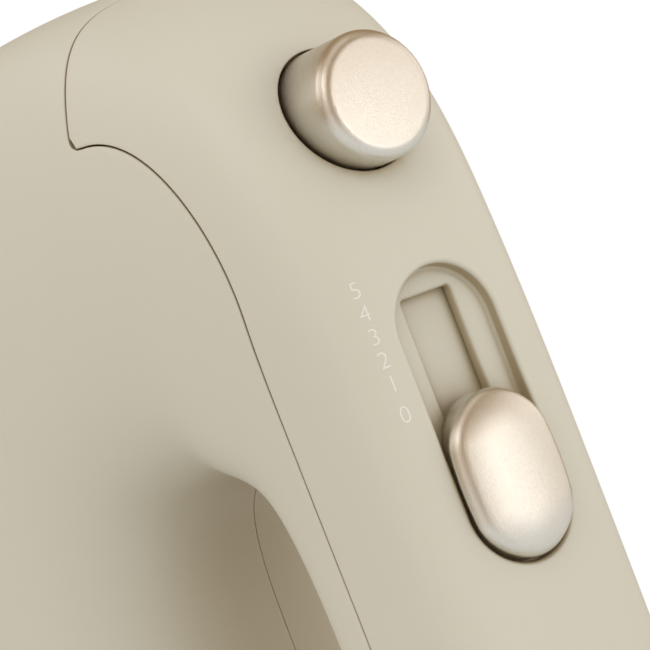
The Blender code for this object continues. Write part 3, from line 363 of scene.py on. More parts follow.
def on_skin(places):
    """Points and outward normals at rows of (row, column) places on the net."""
    row, column = places[:, 0], places[:, 1]
    i, j = np.floor(row).astype(int), np.floor(column).astype(int)
    (row_w, row_s), (col_w, col_s) = weights(row - i), weights(column - j)
    points, by_row, by_column = (np.zeros((len(places), 3)) for _ in range(3))
    for a in range(4):
        for b in range(4):
            control = NET[(i + a - 1) % NET_ROWS, (j + b - 1) % NET_COLUMNS]
            points += control * (row_w[:, a] * col_w[:, b])[:, None]
            by_row += control * (row_s[:, a] * col_w[:, b])[:, None]
            by_column += control * (row_w[:, a] * col_s[:, b])[:, None]
    normals = np.cross(by_column, by_row)
    normals /= np.linalg.norm(normals, axis=1)[:, None]
    return points, normals


crown_point, crown_normal = on_skin(np.array([[2.0, NET_COLUMNS / 2]]))
OUTWARD = 1.0 if crown_normal[0, 0] > 0 else -1.0
HEEL_LEVEL = 1.8 * MM
print("crown of the handle at up", round((crown_point[0, 0] + ORIGIN_UP) / MM, 2), "mm")


def skin_points(places):
    """Skin points and outward normals, with the heel pressed flat behind its pad."""
    points, normals = on_skin(places)
    normals = normals * OUTWARD
    soft = 0.5 * MM
    lift = (points[:, 2] - HEEL_LEVEL) / soft
    points[:, 2] = HEEL_LEVEL + soft * np.logaddexp(0.0, lift)
    share = 1.0 / (1.0 + np.exp(-lift))
    normals[:, :2] *= share[:, None]
    normals /= np.linalg.norm(normals, axis=1)[:, None]
    return points, normals


# %% [markdown]
# ## Where the shells part
# A parting line is the zero line of a field: a number at each point of space that is positive on one side.
# The seam under the handle cover only depends on z and up. It hooks round the back of the handle, runs
# straight, rises on a ramp to a swell beside the button, hooks again and runs slanting round the nose. The
# distance to that line, with its sign, is the field. The pocket is a stadium, the button well and the
# beater holes are circles.

# %% Fields


def arc(centre, radii, start, end, steps):
    """Points on an ellipse's arc, angles in degrees."""
    angles = np.radians(np.linspace(start, end, steps + 1))
    return [(centre[0] + radii[0] * math.cos(t), centre[1] + radii[1] * math.sin(t)) for t in angles]


def seam_line():
    """The seam in the (z, up) plane, in millimetres, from the back edge to the nose."""
    nose, top = LENGTH / MM, HEIGHT / MM
    rear_low, rear_corner = top - 43.0, 2.3
    straight = top - 20.8
    front_low, front_corner = top - 35.5, 1.7
    swell_z, swell = nose - 51.0, (28.0, 18.7)
    crest = math.radians(14.0)
    slope = math.atan(swell[1] / swell[0] * math.tan(crest))
    ramp_end = (swell_z - swell[0] * math.sin(crest), front_low + swell[1] * math.cos(crest))
    ramp = (ramp_end[1] - straight) / (1 - math.cos(slope))
    line = [(-20.0, rear_low)]
    line += arc((18.0 - rear_corner, rear_low + rear_corner), (rear_corner, rear_corner), 270, 360, 8)
    line += arc((44.0, rear_low + rear_corner), (26.0, straight - rear_low - rear_corner), 180, 90, 24)
    ramp_z = ramp_end[0] - ramp * math.sin(slope)
    line += arc((ramp_z, straight + ramp), (ramp, ramp), 270, 270 + math.degrees(slope), 8)
    line += arc((swell_z, front_low), swell, 104, 0, 36)
    line += arc((swell_z + swell[0] + front_corner, front_low), (front_corner, front_corner), 180, 278, 8)
    line += [(nose + 5.0, line[-1][1] + 0.15 * (nose + 5.0 - line[-1][0]))]
    apart = [spot for n, spot in enumerate(line) if n == 0 or math.dist(spot, line[n - 1]) > 0.01]
    return np.array(apart) * MM


def distance_to_line(line, points):
    """Signed distance from 2-D points to an open line, positive on its left."""
    start, end = line[:-1], line[1:]
    along = end - start
    length = (along ** 2).sum(1)
    best = np.full(len(points), np.inf)
    signed = np.zeros(len(points))
    for a, step, square in zip(start, along, length):
        share = np.clip(((points - a) @ step) / square, 0, 1)
        away = points - (a + share[:, None] * step)
        distance = np.hypot(away[:, 0], away[:, 1])
        side = step[0] * (points[:, 1] - a[1]) - step[1] * (points[:, 0] - a[0])
        closer = distance < best - 1e-12
        best = np.where(closer, distance, best)
        signed = np.where(closer, np.where(side >= 0, distance, -distance), signed)
    return signed


SEAM = seam_line()


def seam_field(points):
    """Positive on the handle cover, negative on the housing halves."""
    return distance_to_line(SEAM, np.stack([points[:, 2], points[:, 0] + ORIGIN_UP], 1))


def stadium_field(low_z, high_z, middle_y, radius, out=0.0):
    """Positive outside a slot that lies along z on the handle's side."""
    def field(points):
        z = np.clip(points[:, 2], low_z + radius, high_z - radius)
        distance = np.hypot(points[:, 1] - middle_y, points[:, 2] - z) - radius - out
        return np.where(points[:, 0] > 0, distance, 1.0)
    return field


def circle_field(y, z, radius, upper):
    """Positive outside a circle across x, on the handle's side or on the beaters' side."""
    def field(points):
        distance = np.hypot(points[:, 1] - y, points[:, 2] - z) - radius
        return np.where((points[:, 0] > 0) == upper, distance, 1.0)
    return field


def gradient(field, points):
    """The unit direction in which a field grows."""
    steps = 1e-5 * np.eye(3)
    rise = np.stack([field(points + step) - field(points - step) for step in steps], 1)
    return rise / np.maximum(np.linalg.norm(rise, axis=1), 1e-12)[:, None]


print("seam points", len(SEAM))

# %% [markdown]
# ## Cutting a grid along a field
# A panel starts as a fine grid on the skin. Its edges are split where the field is zero, corners that lie
# very near are moved onto the line instead, and each crossed face is split between its two new corners.
# The line is then exact to a few micrometres, however coarse the grid is.

# %% Grid and cutter
GRID_ROWS, GRID_COLUMNS = 360, 256
SNAP = 0.18


def wrapped(a, b, size):
    """The short way from a to b on a closed parameter."""
    return (b - a + size / 2) % size - size / 2


class Panel:
    """A piece of skin: a bmesh whose corners remember their place on the control net."""

    def __init__(self, rows, columns):
        self.bm = bmesh.new()
        self.row = self.bm.verts.layers.float.new("row")
        self.column = self.bm.verts.layers.float.new("column")
        grid = []
        for i in range(rows):
            line = []
            for j in range(columns):
                vert = self.bm.verts.new((0, 0, 0))
                vert[self.row] = i * NET_ROWS / rows
                vert[self.column] = j * NET_COLUMNS / columns
                line.append(vert)
            grid.append(line)
        for i in range(rows):
            for j in range(columns):
                k, m = (i + 1) % rows, (j + 1) % columns
                self.bm.faces.new((grid[i][j], grid[k][j], grid[k][m], grid[i][m]))
        self.settle(self.bm.verts)

    def places(self, verts):
        return np.array([(vert[self.row], vert[self.column]) for vert in verts])

    def settle(self, verts):
        """Put corners where their places on the net say."""
        verts = list(verts)
        points, _ = skin_points(self.places(verts))
        for vert, point in zip(verts, points):
            vert.co = point

    def cut(self, field):
        """Split along field = 0 and drop the faces on its negative side; returns the corners on the line."""
        bm, row, column = self.bm, self.row, self.column
        verts = list(bm.verts)
        values = dict(zip(verts, field(np.array([vert.co[:] for vert in verts]))))
        crossed = [edge for edge in bm.edges if values[edge.verts[0]] * values[edge.verts[1]] < 0]
        moves = {}
        for edge in crossed:
            a, b = edge.verts
            share = values[a] / (values[a] - values[b])
            for near, far, part in ((a, b, share), (b, a, 1 - share)):
                if part < SNAP and part < moves.get(near, (1.0, None))[0]:
                    moves[near] = (part, far)
        shifted = [(near, part, near[row], near[column], far[row], far[column])
                   for near, (part, far) in moves.items()]
        for near, part, r, c, far_r, far_c in shifted:
            near[row] = r + part * wrapped(r, far_r, NET_ROWS)
            near[column] = c + part * wrapped(c, far_c, NET_COLUMNS)
            values[near] = 0.0
        line = [near for near, *_ in shifted]
        for edge in crossed:
            a, b = edge.verts
            if values[a] * values[b] >= 0:
                continue
            share = values[a] / (values[a] - values[b])
            r, c = a[row], a[column]
            r += share * wrapped(r, b[row], NET_ROWS)
            c += share * wrapped(c, b[column], NET_COLUMNS)
            _, vert = bmesh.utils.edge_split(edge, a, share)
            vert[row], vert[column] = r, c
            values[vert] = 0.0
            line.append(vert)
        self.refine(line, field)
        for face in list({face for vert in line for face in vert.link_faces}):
            signs = [values[vert] for vert in face.verts]
            if min(signs) < 0 < max(signs):
                zero = [vert for vert in face.verts if values[vert] == 0.0]
                if len(zero) == 2:
                    bmesh.utils.face_split(face, zero[0], zero[1])
        doomed = [face for face in bm.faces if min(values[vert] for vert in face.verts) < 0
                  and max(values[vert] for vert in face.verts) <= 0]
        bmesh.ops.delete(bm, geom=doomed, context="FACES")
        return {vert for vert in line if vert.is_valid}

    def refine(self, verts, field):
        """Slide corners over the skin until the field there is zero."""
        if not verts:
            return
        places = self.places(verts)
        step = 1e-3
        for _ in range(3):
            base = field(skin_points(places)[0])
            rises = [field(skin_points(places + step * np.eye(2)[k])[0]) - base for k in range(2)]
            slope = np.stack(rises, 1) / step
            square = np.maximum((slope ** 2).sum(1), 1e-12)
            places = places - slope * (base / square)[:, None]
        for vert, (r, c) in zip(verts, places):
            vert[self.row], vert[self.column] = r % NET_ROWS, c % NET_COLUMNS
        self.settle(verts)


# %% [markdown]
# ## Rolled edges
# A moulded edge is never sharp. From the cut line, a strip of faces rolls over a quarter circle towards the
# gap, and then runs straight down into it, so that the seam is a real groove that holds its own shadow.

# %% Edge rolling


def rim_loops(bm, on_line):
    """The open edges whose two corners lie on a cut line."""
    return [edge for edge in bm.edges
            if edge.is_boundary and edge.verts[0] in on_line and edge.verts[1] in on_line]


print("grid", GRID_ROWS, "by", GRID_COLUMNS)

# %% [markdown]
# ## Closing a panel into a moulded wall
# Real shells have a wall, so a copy of the panel is laid one wall thickness below it, and the end of each
# rolled edge is joined to that copy's rim. Where two rolled strips share a corner, a small web of faces
# closes the gap between them. A crossing without a shared corner gets no web.

# %% Wall


def close_wall(panel, skin_verts, skin_faces, rolls, wall):
    """Add a panel's inner surface and join it to the rolled edges; rolls is a list of (edges, chains)."""
    bm = panel.bm
    verts = list(skin_verts)
    points, normals = skin_points(panel.places(verts))
    inner = {vert: bm.verts.new(point) for vert, point in zip(verts, points - normals * wall)}
    for face in skin_faces:
        bm.faces.new([inner[vert] for vert in reversed(face.verts)])
    seen = {}
    for edges, chains in rolls:
        for edge in edges:
            a, b = edge.verts
            bm.faces.new((chains[a][-1], chains[b][-1], inner[b], inner[a]))
        for vert, chain in chains.items():
            seen.setdefault(vert, []).append(chain)
    webs = 0
    for vert, chains in seen.items():
        if len(chains) == 2:
            first = [vert] + chains[0] + [inner[vert]]
            second = [vert] + chains[1] + [inner[vert]]
            for k in range(len(first) - 1):
                corners = [first[k], first[k + 1], second[k + 1], second[k]]
                unique = list(dict.fromkeys(corners))
                if len(unique) > 2:
                    bm.faces.new(unique)
            webs += 1
    return inner, webs


def count_panel(name, bm, webs):
    still_open = sum(edge.is_boundary for edge in bm.edges)
    print(name, len(bm.faces), "faces,", still_open, "open edges,", webs, "webs")


def roll_chains(panel, on_line, field, radius, depth, steps=4, down=None):
    """Roll an edge and return its edges with, for each rim corner, the chain of corners below it."""
    bm = panel.bm
    edges = rim_loops(bm, on_line)
    verts = list({vert for edge in edges for vert in edge.verts})
    points, normals = skin_points(panel.places(verts))
    inward = -gradient(field, points)
    if down is None:
        sink = -normals
        inward -= normals * (inward * normals).sum(1)[:, None]
        inward /= np.linalg.norm(inward, axis=1)[:, None]
    else:
        sink = np.tile(np.array(down, float), (len(points), 1))
        tilt = (inward * normals).sum(1) / (sink * normals).sum(1)
        inward = inward - sink * tilt[:, None]
    chains = {vert: [] for vert in verts}
    for k in range(1, steps + 2):
        angle = math.pi / 2 * min(k, steps) / steps
        ring = points + inward * radius * math.sin(angle) + sink * radius * (1 - math.cos(angle))
        if k > steps:
            ring = ring + sink * depth
        for vert, point in zip(verts, ring):
            chains[vert].append(bm.verts.new(point))
    for edge in edges:
        a, b = edge.verts
        for k in range(steps + 1):
            high_a, high_b = (a, b) if k == 0 else (chains[a][k - 1], chains[b][k - 1])
            bm.faces.new((high_a, high_b, chains[b][k], chains[a][k]))
    return edges, chains


# %% [markdown]
# ## Handle cover
# The cover carries everything the thumb uses. Its pocket is a stadium with a soft rim, a wall, a small
# fillet and a flat floor; in the floor a chamfered track lets the knob's stem through. The button well is
# a plain round hole with a tight lip.

# %% Handle cover
SEAM_GAP = 0.24 * MM
SEAM_ROLL = 0.30 * MM
POCKET_WIDTH = 19.5 * MM
POCKET_Y = 0.35 * MM
POCKET_FRONT = BUTTON_Z - 27.4 * MM
POCKET_REAR = corner("speed_knob", False, 2) - 0.6 * MM
RIM_ROLL = 0.8 * MM
FLOOR_X = HEIGHT - ORIGIN_UP - 2.9 * MM
FLOOR_ROLL = 0.5 * MM
TRACK_HALF = 5.0 * MM
TRACK_FRONT = corner("slider_shutter", True, 2) - 0.1 * MM
TRACK_REAR = KNOB_Z - 11.0 * MM
TRACK_CHAMFER = 0.5 * MM
TRACK_STEP = 0.4 * MM
DECK_THICK = 1.8 * MM
WELL_RADIUS = 10.8 * MM
WELL_ROLL = 0.3 * MM
WELL_DEPTH = 5.0 * MM
POCKET_WALL = 0.2 * MM
FLOOR_MARGIN = 0.15 * MM
TRACK_TOP_CORNER = 1.3 * MM
TRACK_CORNER = 0.5 * MM
STRAIGHT_DOWN = (-1.0, 0.0, 0.0)


def rounded_rectangle(low_y, high_y, low_z, high_z, radius, steps=6):
    spots = []
    for y, z, turn in ((high_y - radius, high_z - radius, 0), (low_y + radius, high_z - radius, 90),
                       (low_y + radius, low_z + radius, 180), (high_y - radius, low_z + radius, 270)):
        spots += arc((y, z), (radius, radius), turn, turn + 90, steps)
    return spots


def add_loop(bm, spots, x):
    return [bm.verts.new((x, y, z)) for y, z in spots]


def bridge(bm, first, second):
    """A strip of faces between two closed loops with as many corners each."""
    count = len(first)
    for n in range(count):
        m = (n + 1) % count
        bm.faces.new((first[n], first[m], second[m], second[n]))


def fill_between(bm, outer_edges, loop):
    """Triangles between an outer closed rim and an inner loop on one plane."""
    loop_edges = [bm.edges.get((loop[n], loop[n - 1])) or bm.edges.new((loop[n], loop[n - 1]))
                  for n in range(len(loop))]
    bmesh.ops.triangle_fill(bm, use_beauty=True, use_dissolve=False, edges=list(outer_edges) + loop_edges)


def handle_cover():
    offset = SEAM_GAP / 2 + SEAM_ROLL
    panel = Panel(GRID_ROWS, GRID_COLUMNS)
    bm = panel.bm
    seam_cut = panel.cut(lambda p: seam_field(p) - offset)
    pocket = stadium_field(POCKET_REAR, POCKET_FRONT, POCKET_Y, POCKET_WIDTH / 2, RIM_ROLL)
    well = circle_field(0.0, BUTTON_Z, WELL_RADIUS + WELL_ROLL, True)
    pocket_cut = panel.cut(pocket)
    well_cut = panel.cut(well)
    skin_verts, skin_faces = list(bm.verts), list(bm.faces)
    rolls = [roll_chains(panel, seam_cut, seam_field, SEAM_ROLL, WALL - SEAM_ROLL),
             roll_chains(panel, well_cut, well, WELL_ROLL, WELL_DEPTH, down=STRAIGHT_DOWN)]
    edges, chains = roll_chains(panel, pocket_cut, pocket, RIM_ROLL, POCKET_WALL, 8, STRAIGHT_DOWN)
    rim = list(chains)
    base = np.array([chains[vert][-1].co[:] for vert in rim])
    towards = -gradient(pocket, base)
    levels = []
    for k in range(6):
        angle = math.pi / 2 * k / 5
        levels.append((FLOOR_ROLL * (1 - math.cos(angle)), FLOOR_X + FLOOR_ROLL * (1 - math.sin(angle))))
    levels.append((FLOOR_ROLL + FLOOR_MARGIN, FLOOR_X))
    for inset, x in levels:
        spots = base + towards * inset
        for vert, spot in zip(rim, spots):
            chains[vert].append(bm.verts.new((x, spot[1], spot[2])))
    for edge in edges:
        a, b = edge.verts
        for k in range(len(chains[a]) - len(levels), len(chains[a])):
            bm.faces.new((chains[a][k - 1], chains[b][k - 1], chains[b][k], chains[a][k]))
    limits = (-TRACK_HALF, TRACK_HALF, TRACK_REAR, TRACK_FRONT)
    grown = [limit + way * TRACK_CHAMFER for limit, way in zip(limits, (-1, 1, -1, 1))]
    steps = ((grown, TRACK_TOP_CORNER, FLOOR_X), (limits, TRACK_CORNER, FLOOR_X - TRACK_STEP),
             (limits, TRACK_CORNER, FLOOR_X - DECK_THICK))
    loops = [add_loop(bm, rounded_rectangle(*box, radius), x) for box, radius, x in steps]
    for high, low in zip(loops, loops[1:]):
        bridge(bm, high, low)
    floor_rim = [bm.edges.get((chains[e.verts[0]][-1], chains[e.verts[1]][-1])) for e in edges]
    fill_between(bm, floor_rim, loops[0])
    inner, webs = close_wall(panel, skin_verts, skin_faces, rolls, WALL)
    under = {vert: bm.verts.new((FLOOR_X - DECK_THICK, inner[vert].co.y, inner[vert].co.z)) for vert in rim}
    for edge in edges:
        a, b = edge.verts
        bm.faces.new((inner[a], inner[b], under[b], under[a]))
    fill_between(bm, [bm.edges.get((under[e.verts[0]], under[e.verts[1]])) for e in edges], loops[-1])
    count_panel("handle cover", bm, webs)
    return piece("handle_cover_shell", bm, CREAM, "housing", ("handle_cover",), sharp=50.0)


COVER = handle_cover()

# %% [markdown]
# ## Housing halves
# The two halves meet in the middle plane, which shows as a hairline in the finger gap and along the belly.
# Each half also has its share of the cord hole at the back, one beater hole below, and cooling slots.

# %% Housing halves
MIDDLE_GAP = 0.10 * MM
MIDDLE_ROLL = 0.10 * MM
BEATER_HOLE = 7.3 * MM
CORD_HOLE = 5.3 * MM
HOLE_ROLL = 0.5 * MM
SLOT_ROLL = 0.5 * MM
SLOT_HALF = 1.3 * MM
SLOT_STEP = 6.5 * MM
SLOT_COUNT = 5
SLOT_REAR, SLOT_FRONT = 40 * MM, 60 * MM
MOTOR_X = middle("worm_shaft").x
CORD_X = middle("cord_gland").x


def slots_field(side):
    """Positive outside the cooling slots on one side."""
    def field(points):
        z = np.clip(points[:, 2], SLOT_REAR + SLOT_HALF, SLOT_FRONT - SLOT_HALF)
        nearest = MOTOR_X + SLOT_STEP * np.clip(np.round((points[:, 0] - MOTOR_X) / SLOT_STEP),
                                                -(SLOT_COUNT // 2), SLOT_COUNT // 2)
        distance = np.hypot(points[:, 0] - nearest, points[:, 2] - z) - SLOT_HALF - SLOT_ROLL
        return np.where(points[:, 1] * side > HALF_BODY / 2, distance, 1.0)
    return field


def cord_field(points):
    """Positive outside the cord hole at the back."""
    distance = np.hypot(points[:, 0] - CORD_X, points[:, 1]) - CORD_HOLE - HOLE_ROLL
    return np.where(points[:, 2] < 20 * MM, distance, 1.0)


def housing_half(name, node, side):
    panel = Panel(GRID_ROWS, GRID_COLUMNS)
    bm = panel.bm
    middle_offset = MIDDLE_GAP / 2 + MIDDLE_ROLL
    seam_offset = SEAM_GAP / 2 + SEAM_ROLL
    lines = [(lambda p: side * p[:, 1] - middle_offset, lambda p: side * p[:, 1], MIDDLE_ROLL, None),
             (lambda p: -seam_field(p) - seam_offset, lambda p: -seam_field(p), SEAM_ROLL, None)]
    hole = circle_field(side * BEATER_Y, BEATER_Z, BEATER_HOLE + HOLE_ROLL, False)
    lines += [(hole, hole, HOLE_ROLL, (1.0, 0.0, 0.0)), (cord_field, cord_field, HOLE_ROLL, None),
              (slots_field(side), slots_field(side), SLOT_ROLL, (0.0, -float(side), 0.0))]
    cuts = [panel.cut(field) for field, *_ in lines]
    skin_verts, skin_faces = list(bm.verts), list(bm.faces)
    rolls = []
    for on_line, (_, towards, radius, down) in zip(cuts, lines):
        on_line = {vert for vert in on_line if vert.is_valid}
        rolls.append(roll_chains(panel, on_line, towards, radius, WALL - radius, down=down))
    _, webs = close_wall(panel, skin_verts, skin_faces, rolls, WALL)
    count_panel(name, bm, webs)
    return piece(name, bm, CREAM, "housing", (node,), sharp=50.0)


housing_half("left_shell", "housing_left", -1)
housing_half("right_shell", "housing_right", 1)

# %% [markdown]
# ## Turned pieces
# The eject button, the rings round the beaters and the cord gland are all turned shapes: a profile of
# radius and place along an axis, carried round in fine steps.

# %% Turned shapes


def turned(bm, profile, axis, centre, sides=128):
    """A closed surface of revolution; the profile's points are (radius, place along the axis)."""
    a, b = centre
    rings = []
    for radius, along in profile:
        ring = []
        for n in range(sides if radius > 0 else 1):
            t = math.tau * n / sides
            u, v = a + radius * math.cos(t), b + radius * math.sin(t)
            ring.append(bm.verts.new({"x": (along, u, v), "y": (v, along, u), "z": (u, v, along)}[axis]))
        rings.append(ring)
    closed = profile[0][0] > 0 and profile[-1][0] > 0
    pairs = list(zip(rings, rings[1:])) + ([(rings[-1], rings[0])] if closed else [])
    for first, second in pairs:
        for n in range(sides):
            m = (n + 1) % sides
            corners = [first[n % len(first)], first[m % len(first)],
                       second[m % len(second)], second[n % len(second)]]
            unique = list(dict.fromkeys(corners))
            if len(unique) > 2:
                bm.faces.new(unique)


def eject_button():
    """A cap with a faintly domed face, a generous rolled rim and a straight skirt."""
    face = corner("eject_button", True, 0)
    low = corner("eject_button", False, 0)
    radius = (corner("eject_button", True, 1) - corner("eject_button", False, 1)) / 2
    rim, dome, skirt = 2.1 * MM, 0.22 * MM, 0.3 * MM
    flat = radius - rim
    profile = [(0.0, face)]
    profile += [(flat * k / 10, face - dome * (k / 10) ** 2) for k in range(1, 11)]
    start = 8.0  # degrees: the rim leaves the face at this slope
    profile += [(flat + rim * math.sin(math.radians(t)), face - dome - rim * (1 - math.cos(math.radians(t))))
                for t in np.linspace(start, 90.0, 14)]
    profile += [(radius, face - dome - rim - skirt), (radius, low + skirt), (radius - skirt, low), (0.0, low)]
    bm = bmesh.new()
    turned(bm, profile, "x", (0.0, BUTTON_Z))
    return piece("eject_cap", bm, CHAMPAGNE, "ejector", ("eject_button",), sharp=60.0)


eject_button()

# %% [markdown]
# ## Speed knob
# The knob is a stadium drawn at many heights: its sides swell from the foot up, then roll over a round edge
# into a domed top. Each layer is the same outline, inset a little more and lifted a little less.

# %% Speed knob
KNOB_FOOT = 0.35 * MM
KNOB_LOW = FLOOR_X + KNOB_FOOT


def stadium(low_z, high_z, radius, steps, bulge=0.0):
    """A slot's outline whose long sides swell outwards by the bulge at their middle."""
    straight = [(radius, low_z + radius + (high_z - low_z - 2 * radius) * k / 12) for k in range(1, 12)]
    spots = arc((0.0, low_z + radius), (radius, radius), 270, 360, steps) + straight
    spots += arc((0.0, high_z - radius), (radius, radius), 0, 180, 2 * steps)
    spots += [(-y, z) for y, z in reversed(straight)]
    spots += arc((0.0, low_z + radius), (radius, radius), 180, 270, steps)[:-1]
    centre, half = (low_z + high_z) / 2, (high_z - low_z) / 2
    return [(y * (1 + bulge / radius * (1 - ((z - centre) / half) ** 2)), z) for y, z in spots]


def speed_knob():
    face = corner("speed_knob", True, 0)
    low_z, high_z = corner("speed_knob", False, 2), corner("speed_knob", True, 2)
    half = (corner("speed_knob", True, 1) - corner("speed_knob", False, 1)) / 2
    edge, dome, bulge = 2.2 * MM, 1.15 * MM, 1.9 * MM
    shoulder = face - dome - edge * 0.88
    layers = [(KNOB_FOOT, KNOB_LOW), (0.0, KNOB_LOW + KNOB_FOOT)]
    layers += [(0.0, KNOB_LOW + KNOB_FOOT + (shoulder - KNOB_LOW - KNOB_FOOT) * share)
               for share in (0.25, 0.5, 0.75)]
    for t in np.linspace(0.0, 62.0, 12):
        angle = math.radians(t)
        layers.append((edge * (1 - math.cos(angle)), shoulder + edge * math.sin(angle)))
    inset, x = layers[-1]
    for k in range(1, 13):
        share = k / 12
        layers.append((inset + (half - inset - 0.05 * MM) * share, x + (face - x) * (1 - (1 - share) ** 2.3)))
    bm = bmesh.new()
    rings = []
    for inset, x in layers:
        swell = bulge * min(max((x - KNOB_LOW) / (shoulder - KNOB_LOW), 0.0), 1.0) * (half - inset) / half
        rings.append(add_loop(bm, stadium(low_z + inset, high_z - inset, half - inset, 20, swell), x))
    for first, second in zip(rings, rings[1:]):
        bridge(bm, first, second)
    bm.faces.new(rings[0])
    bm.faces.new(rings[-1])
    stem_low = corner("slider_shutter", True, 0) + 0.1 * MM
    stem = [add_loop(bm, rounded_rectangle(-4 * MM, 4 * MM, KNOB_Z - 8 * MM, KNOB_Z + 8 * MM, 1 * MM), x)
            for x in (stem_low, KNOB_LOW - 0.05 * MM)]
    bridge(bm, *stem)
    bm.faces.new(stem[0])
    bm.faces.new(stem[1])
    return piece("speed_thumb_knob", bm, CHAMPAGNE, "speed_slider", ("speed_knob",),
                 sharp=60.0)


speed_knob()

# %% [markdown]
# ## Digits
# The speeds are printed beside the pocket as thin pale digits. Each is a text object turned into a mesh,
# laid flat, and then dropped onto the cover with a ray from above, so that it follows the curve.

# %% Digits
DIGIT_Y = -13.5 * MM
DIGIT_SIZE = 3.9 * MM
DIGIT_PITCH = 3.85 * MM
DIGIT_ZERO_Z = KNOB_Z + 14.0 * MM
DIGIT_FIRST_STEP = 5.1 * MM
PRINT_THICK = 0.03 * MM
RAY_START = 0.2


def cover_tree():
    bm = bmesh.new()
    bm.from_mesh(COVER.data)
    tree = BVHTree.FromBMesh(bm)
    bm.free()
    return tree


COVER_TREE = cover_tree()


def drop_on_cover(y, z):
    hit, normal, *_ = COVER_TREE.ray_cast(Vector((RAY_START, y, z)), Vector((-1, 0, 0)))
    return hit, normal


def digit(text, z):
    curve = bpy.data.curves.new("digit_" + text, "FONT")
    curve.body = text
    curve.size = 1.0
    curve.align_x = "CENTER"
    curve.align_y = "CENTER"
    curve.offset = -0.012
    curve.resolution_u = 6
    carrier = bpy.data.objects.new("digit_carrier", curve)
    bpy.context.scene.collection.objects.link(carrier)
    flat = bpy.data.meshes.new_from_object(carrier)
    bpy.data.objects.remove(carrier)
    bm = bmesh.new()
    bm.from_mesh(flat)
    bmesh.ops.remove_doubles(bm, verts=bm.verts, dist=1e-5)
    base = list(bm.faces)
    grown = bmesh.ops.extrude_face_region(bm, geom=base)
    top = {item for item in grown["geom"] if isinstance(item, bmesh.types.BMVert)}
    for vert in bm.verts:
        y = DIGIT_Y + vert.co.x * DIGIT_SIZE
        hit, normal = drop_on_cover(y, z + vert.co.y * DIGIT_SIZE)
        vert.co = hit + normal * (PRINT_THICK if vert in top else -PRINT_THICK)
    return piece("digit_" + text, bm, PRINT, "housing", sharp=30.0)


for number in range(6):
    digit(str(number), DIGIT_ZERO_Z + (DIGIT_FIRST_STEP + DIGIT_PITCH * (number - 1) if number else 0.0))

# %% [markdown]
# ## Rings, gland and heel pad
# Soft grey rings line the beater holes and the cord hole, and a grooved rubber pad takes the mixer's weight.

# %% Rings and gland
RING_OUTER, RING_INNER, RING_FILLET = 7.0 * MM, 4.9 * MM, 0.6 * MM
GLAND_OUTER, GLAND_INNER, GLAND_FILLET = 5.0 * MM, 3.4 * MM, 0.5 * MM


def ring_profile(outer, inner, low, high, fillet):
    """A tube's section with round corners, as a closed profile."""
    spots = []
    for radius, along, turn in ((outer - fillet, high - fillet, 90), (inner + fillet, high - fillet, 180),
                                (inner + fillet, low + fillet, 270), (outer - fillet, low + fillet, 360)):
        spots += [(radius + fillet * math.cos(math.radians(turn - 90 + t)),
                   along + fillet * math.sin(math.radians(turn - 90 + t))) for t in np.linspace(0, 90, 6)]
    return spots


for name, node, side in (("left_ring", "left_socket_ring", -1), ("right_ring", "right_socket_ring", 1)):
    bm = bmesh.new()
    low_x, high_x = corner(node, False, 0), corner(node, True, 0)
    ring = ring_profile(RING_OUTER, RING_INNER, low_x, high_x, RING_FILLET)
    turned(bm, ring, "x", (side * BEATER_Y, BEATER_Z), 96)
    piece(name, bm, GREY, "housing", (node,), sharp=50.0)

bm = bmesh.new()
low_z, high_z = corner("cord_gland", False, 2), corner("cord_gland", True, 2)
turned(bm, ring_profile(GLAND_OUTER, GLAND_INNER, low_z, high_z, GLAND_FILLET), "z", (CORD_X, 0.0), 96)
piece("cord_bush", bm, GREY, "housing", ("cord_gland",), sharp=50.0)

# %% Heel pad
PAD_CORNER = 6 * MM
GROOVE_PITCH = 4.5 * MM
GROOVE_RADIUS = 0.5 * MM
GROOVE_LENGTH = 22 * MM


def heel_pad():
    """A rounded pad with an edge radius and shallow grooves across its foot."""
    low, high = (Vector(v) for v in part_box("heel_pad"))
    bm = bmesh.new()
    layers = [(0.5 * MM, low.z), (0.15 * MM, low.z + 0.15 * MM), (0.0, low.z + 0.5 * MM), (0.0, high.z)]
    rings = []
    for inset, z in layers:
        spots = rounded_rectangle(low.x + inset, high.x - inset, low.y + inset, high.y - inset,
                                  PAD_CORNER - inset, 10)
        rings.append([bm.verts.new((x, y, z)) for x, y in spots])
    for first, second in zip(rings, rings[1:]):
        bridge(bm, first, second)
    bm.faces.new(rings[0])
    bm.faces.new(rings[-1])
    pad = piece("heel_rubber", bm, RUBBER, "housing", ("heel_pad",), sharp=40.0)
    grooves = bmesh.new()
    for k in range(-3, 4):
        centre = Matrix.Translation((k * GROOVE_PITCH, 0, low.z))
        bmesh.ops.create_cone(grooves, segments=24, radius1=GROOVE_RADIUS, radius2=GROOVE_RADIUS,
                              depth=GROOVE_LENGTH, cap_ends=True,
                              matrix=centre @ Matrix.Rotation(math.pi / 2, 4, "X"))
    mesh = bpy.data.meshes.new("pad_grooves")
    grooves.to_mesh(mesh)
    grooves.free()
    cutter = bpy.data.objects.new("pad_grooves", mesh)
    bpy.context.scene.collection.objects.link(cutter)
    modifier = pad.modifiers.new("grooves", "BOOLEAN")
    modifier.object = cutter
    modifier.operation = "DIFFERENCE"
    bpy.context.view_layer.update()
    carved = bpy.data.meshes.new_from_object(pad.evaluated_get(bpy.context.evaluated_depsgraph_get()))
    pad.modifiers.clear()
    pad.data = carved
    bpy.data.objects.remove(cutter)


heel_pad()

# %% [markdown]
# ## Beaters
# A beater is a turned spindle with two collars, and two steel strips bent to a round cage. A strip is swept
# along its bend with a cross-section whose corners are rounded, as on pressed strip, so its edges catch
# a line of light.

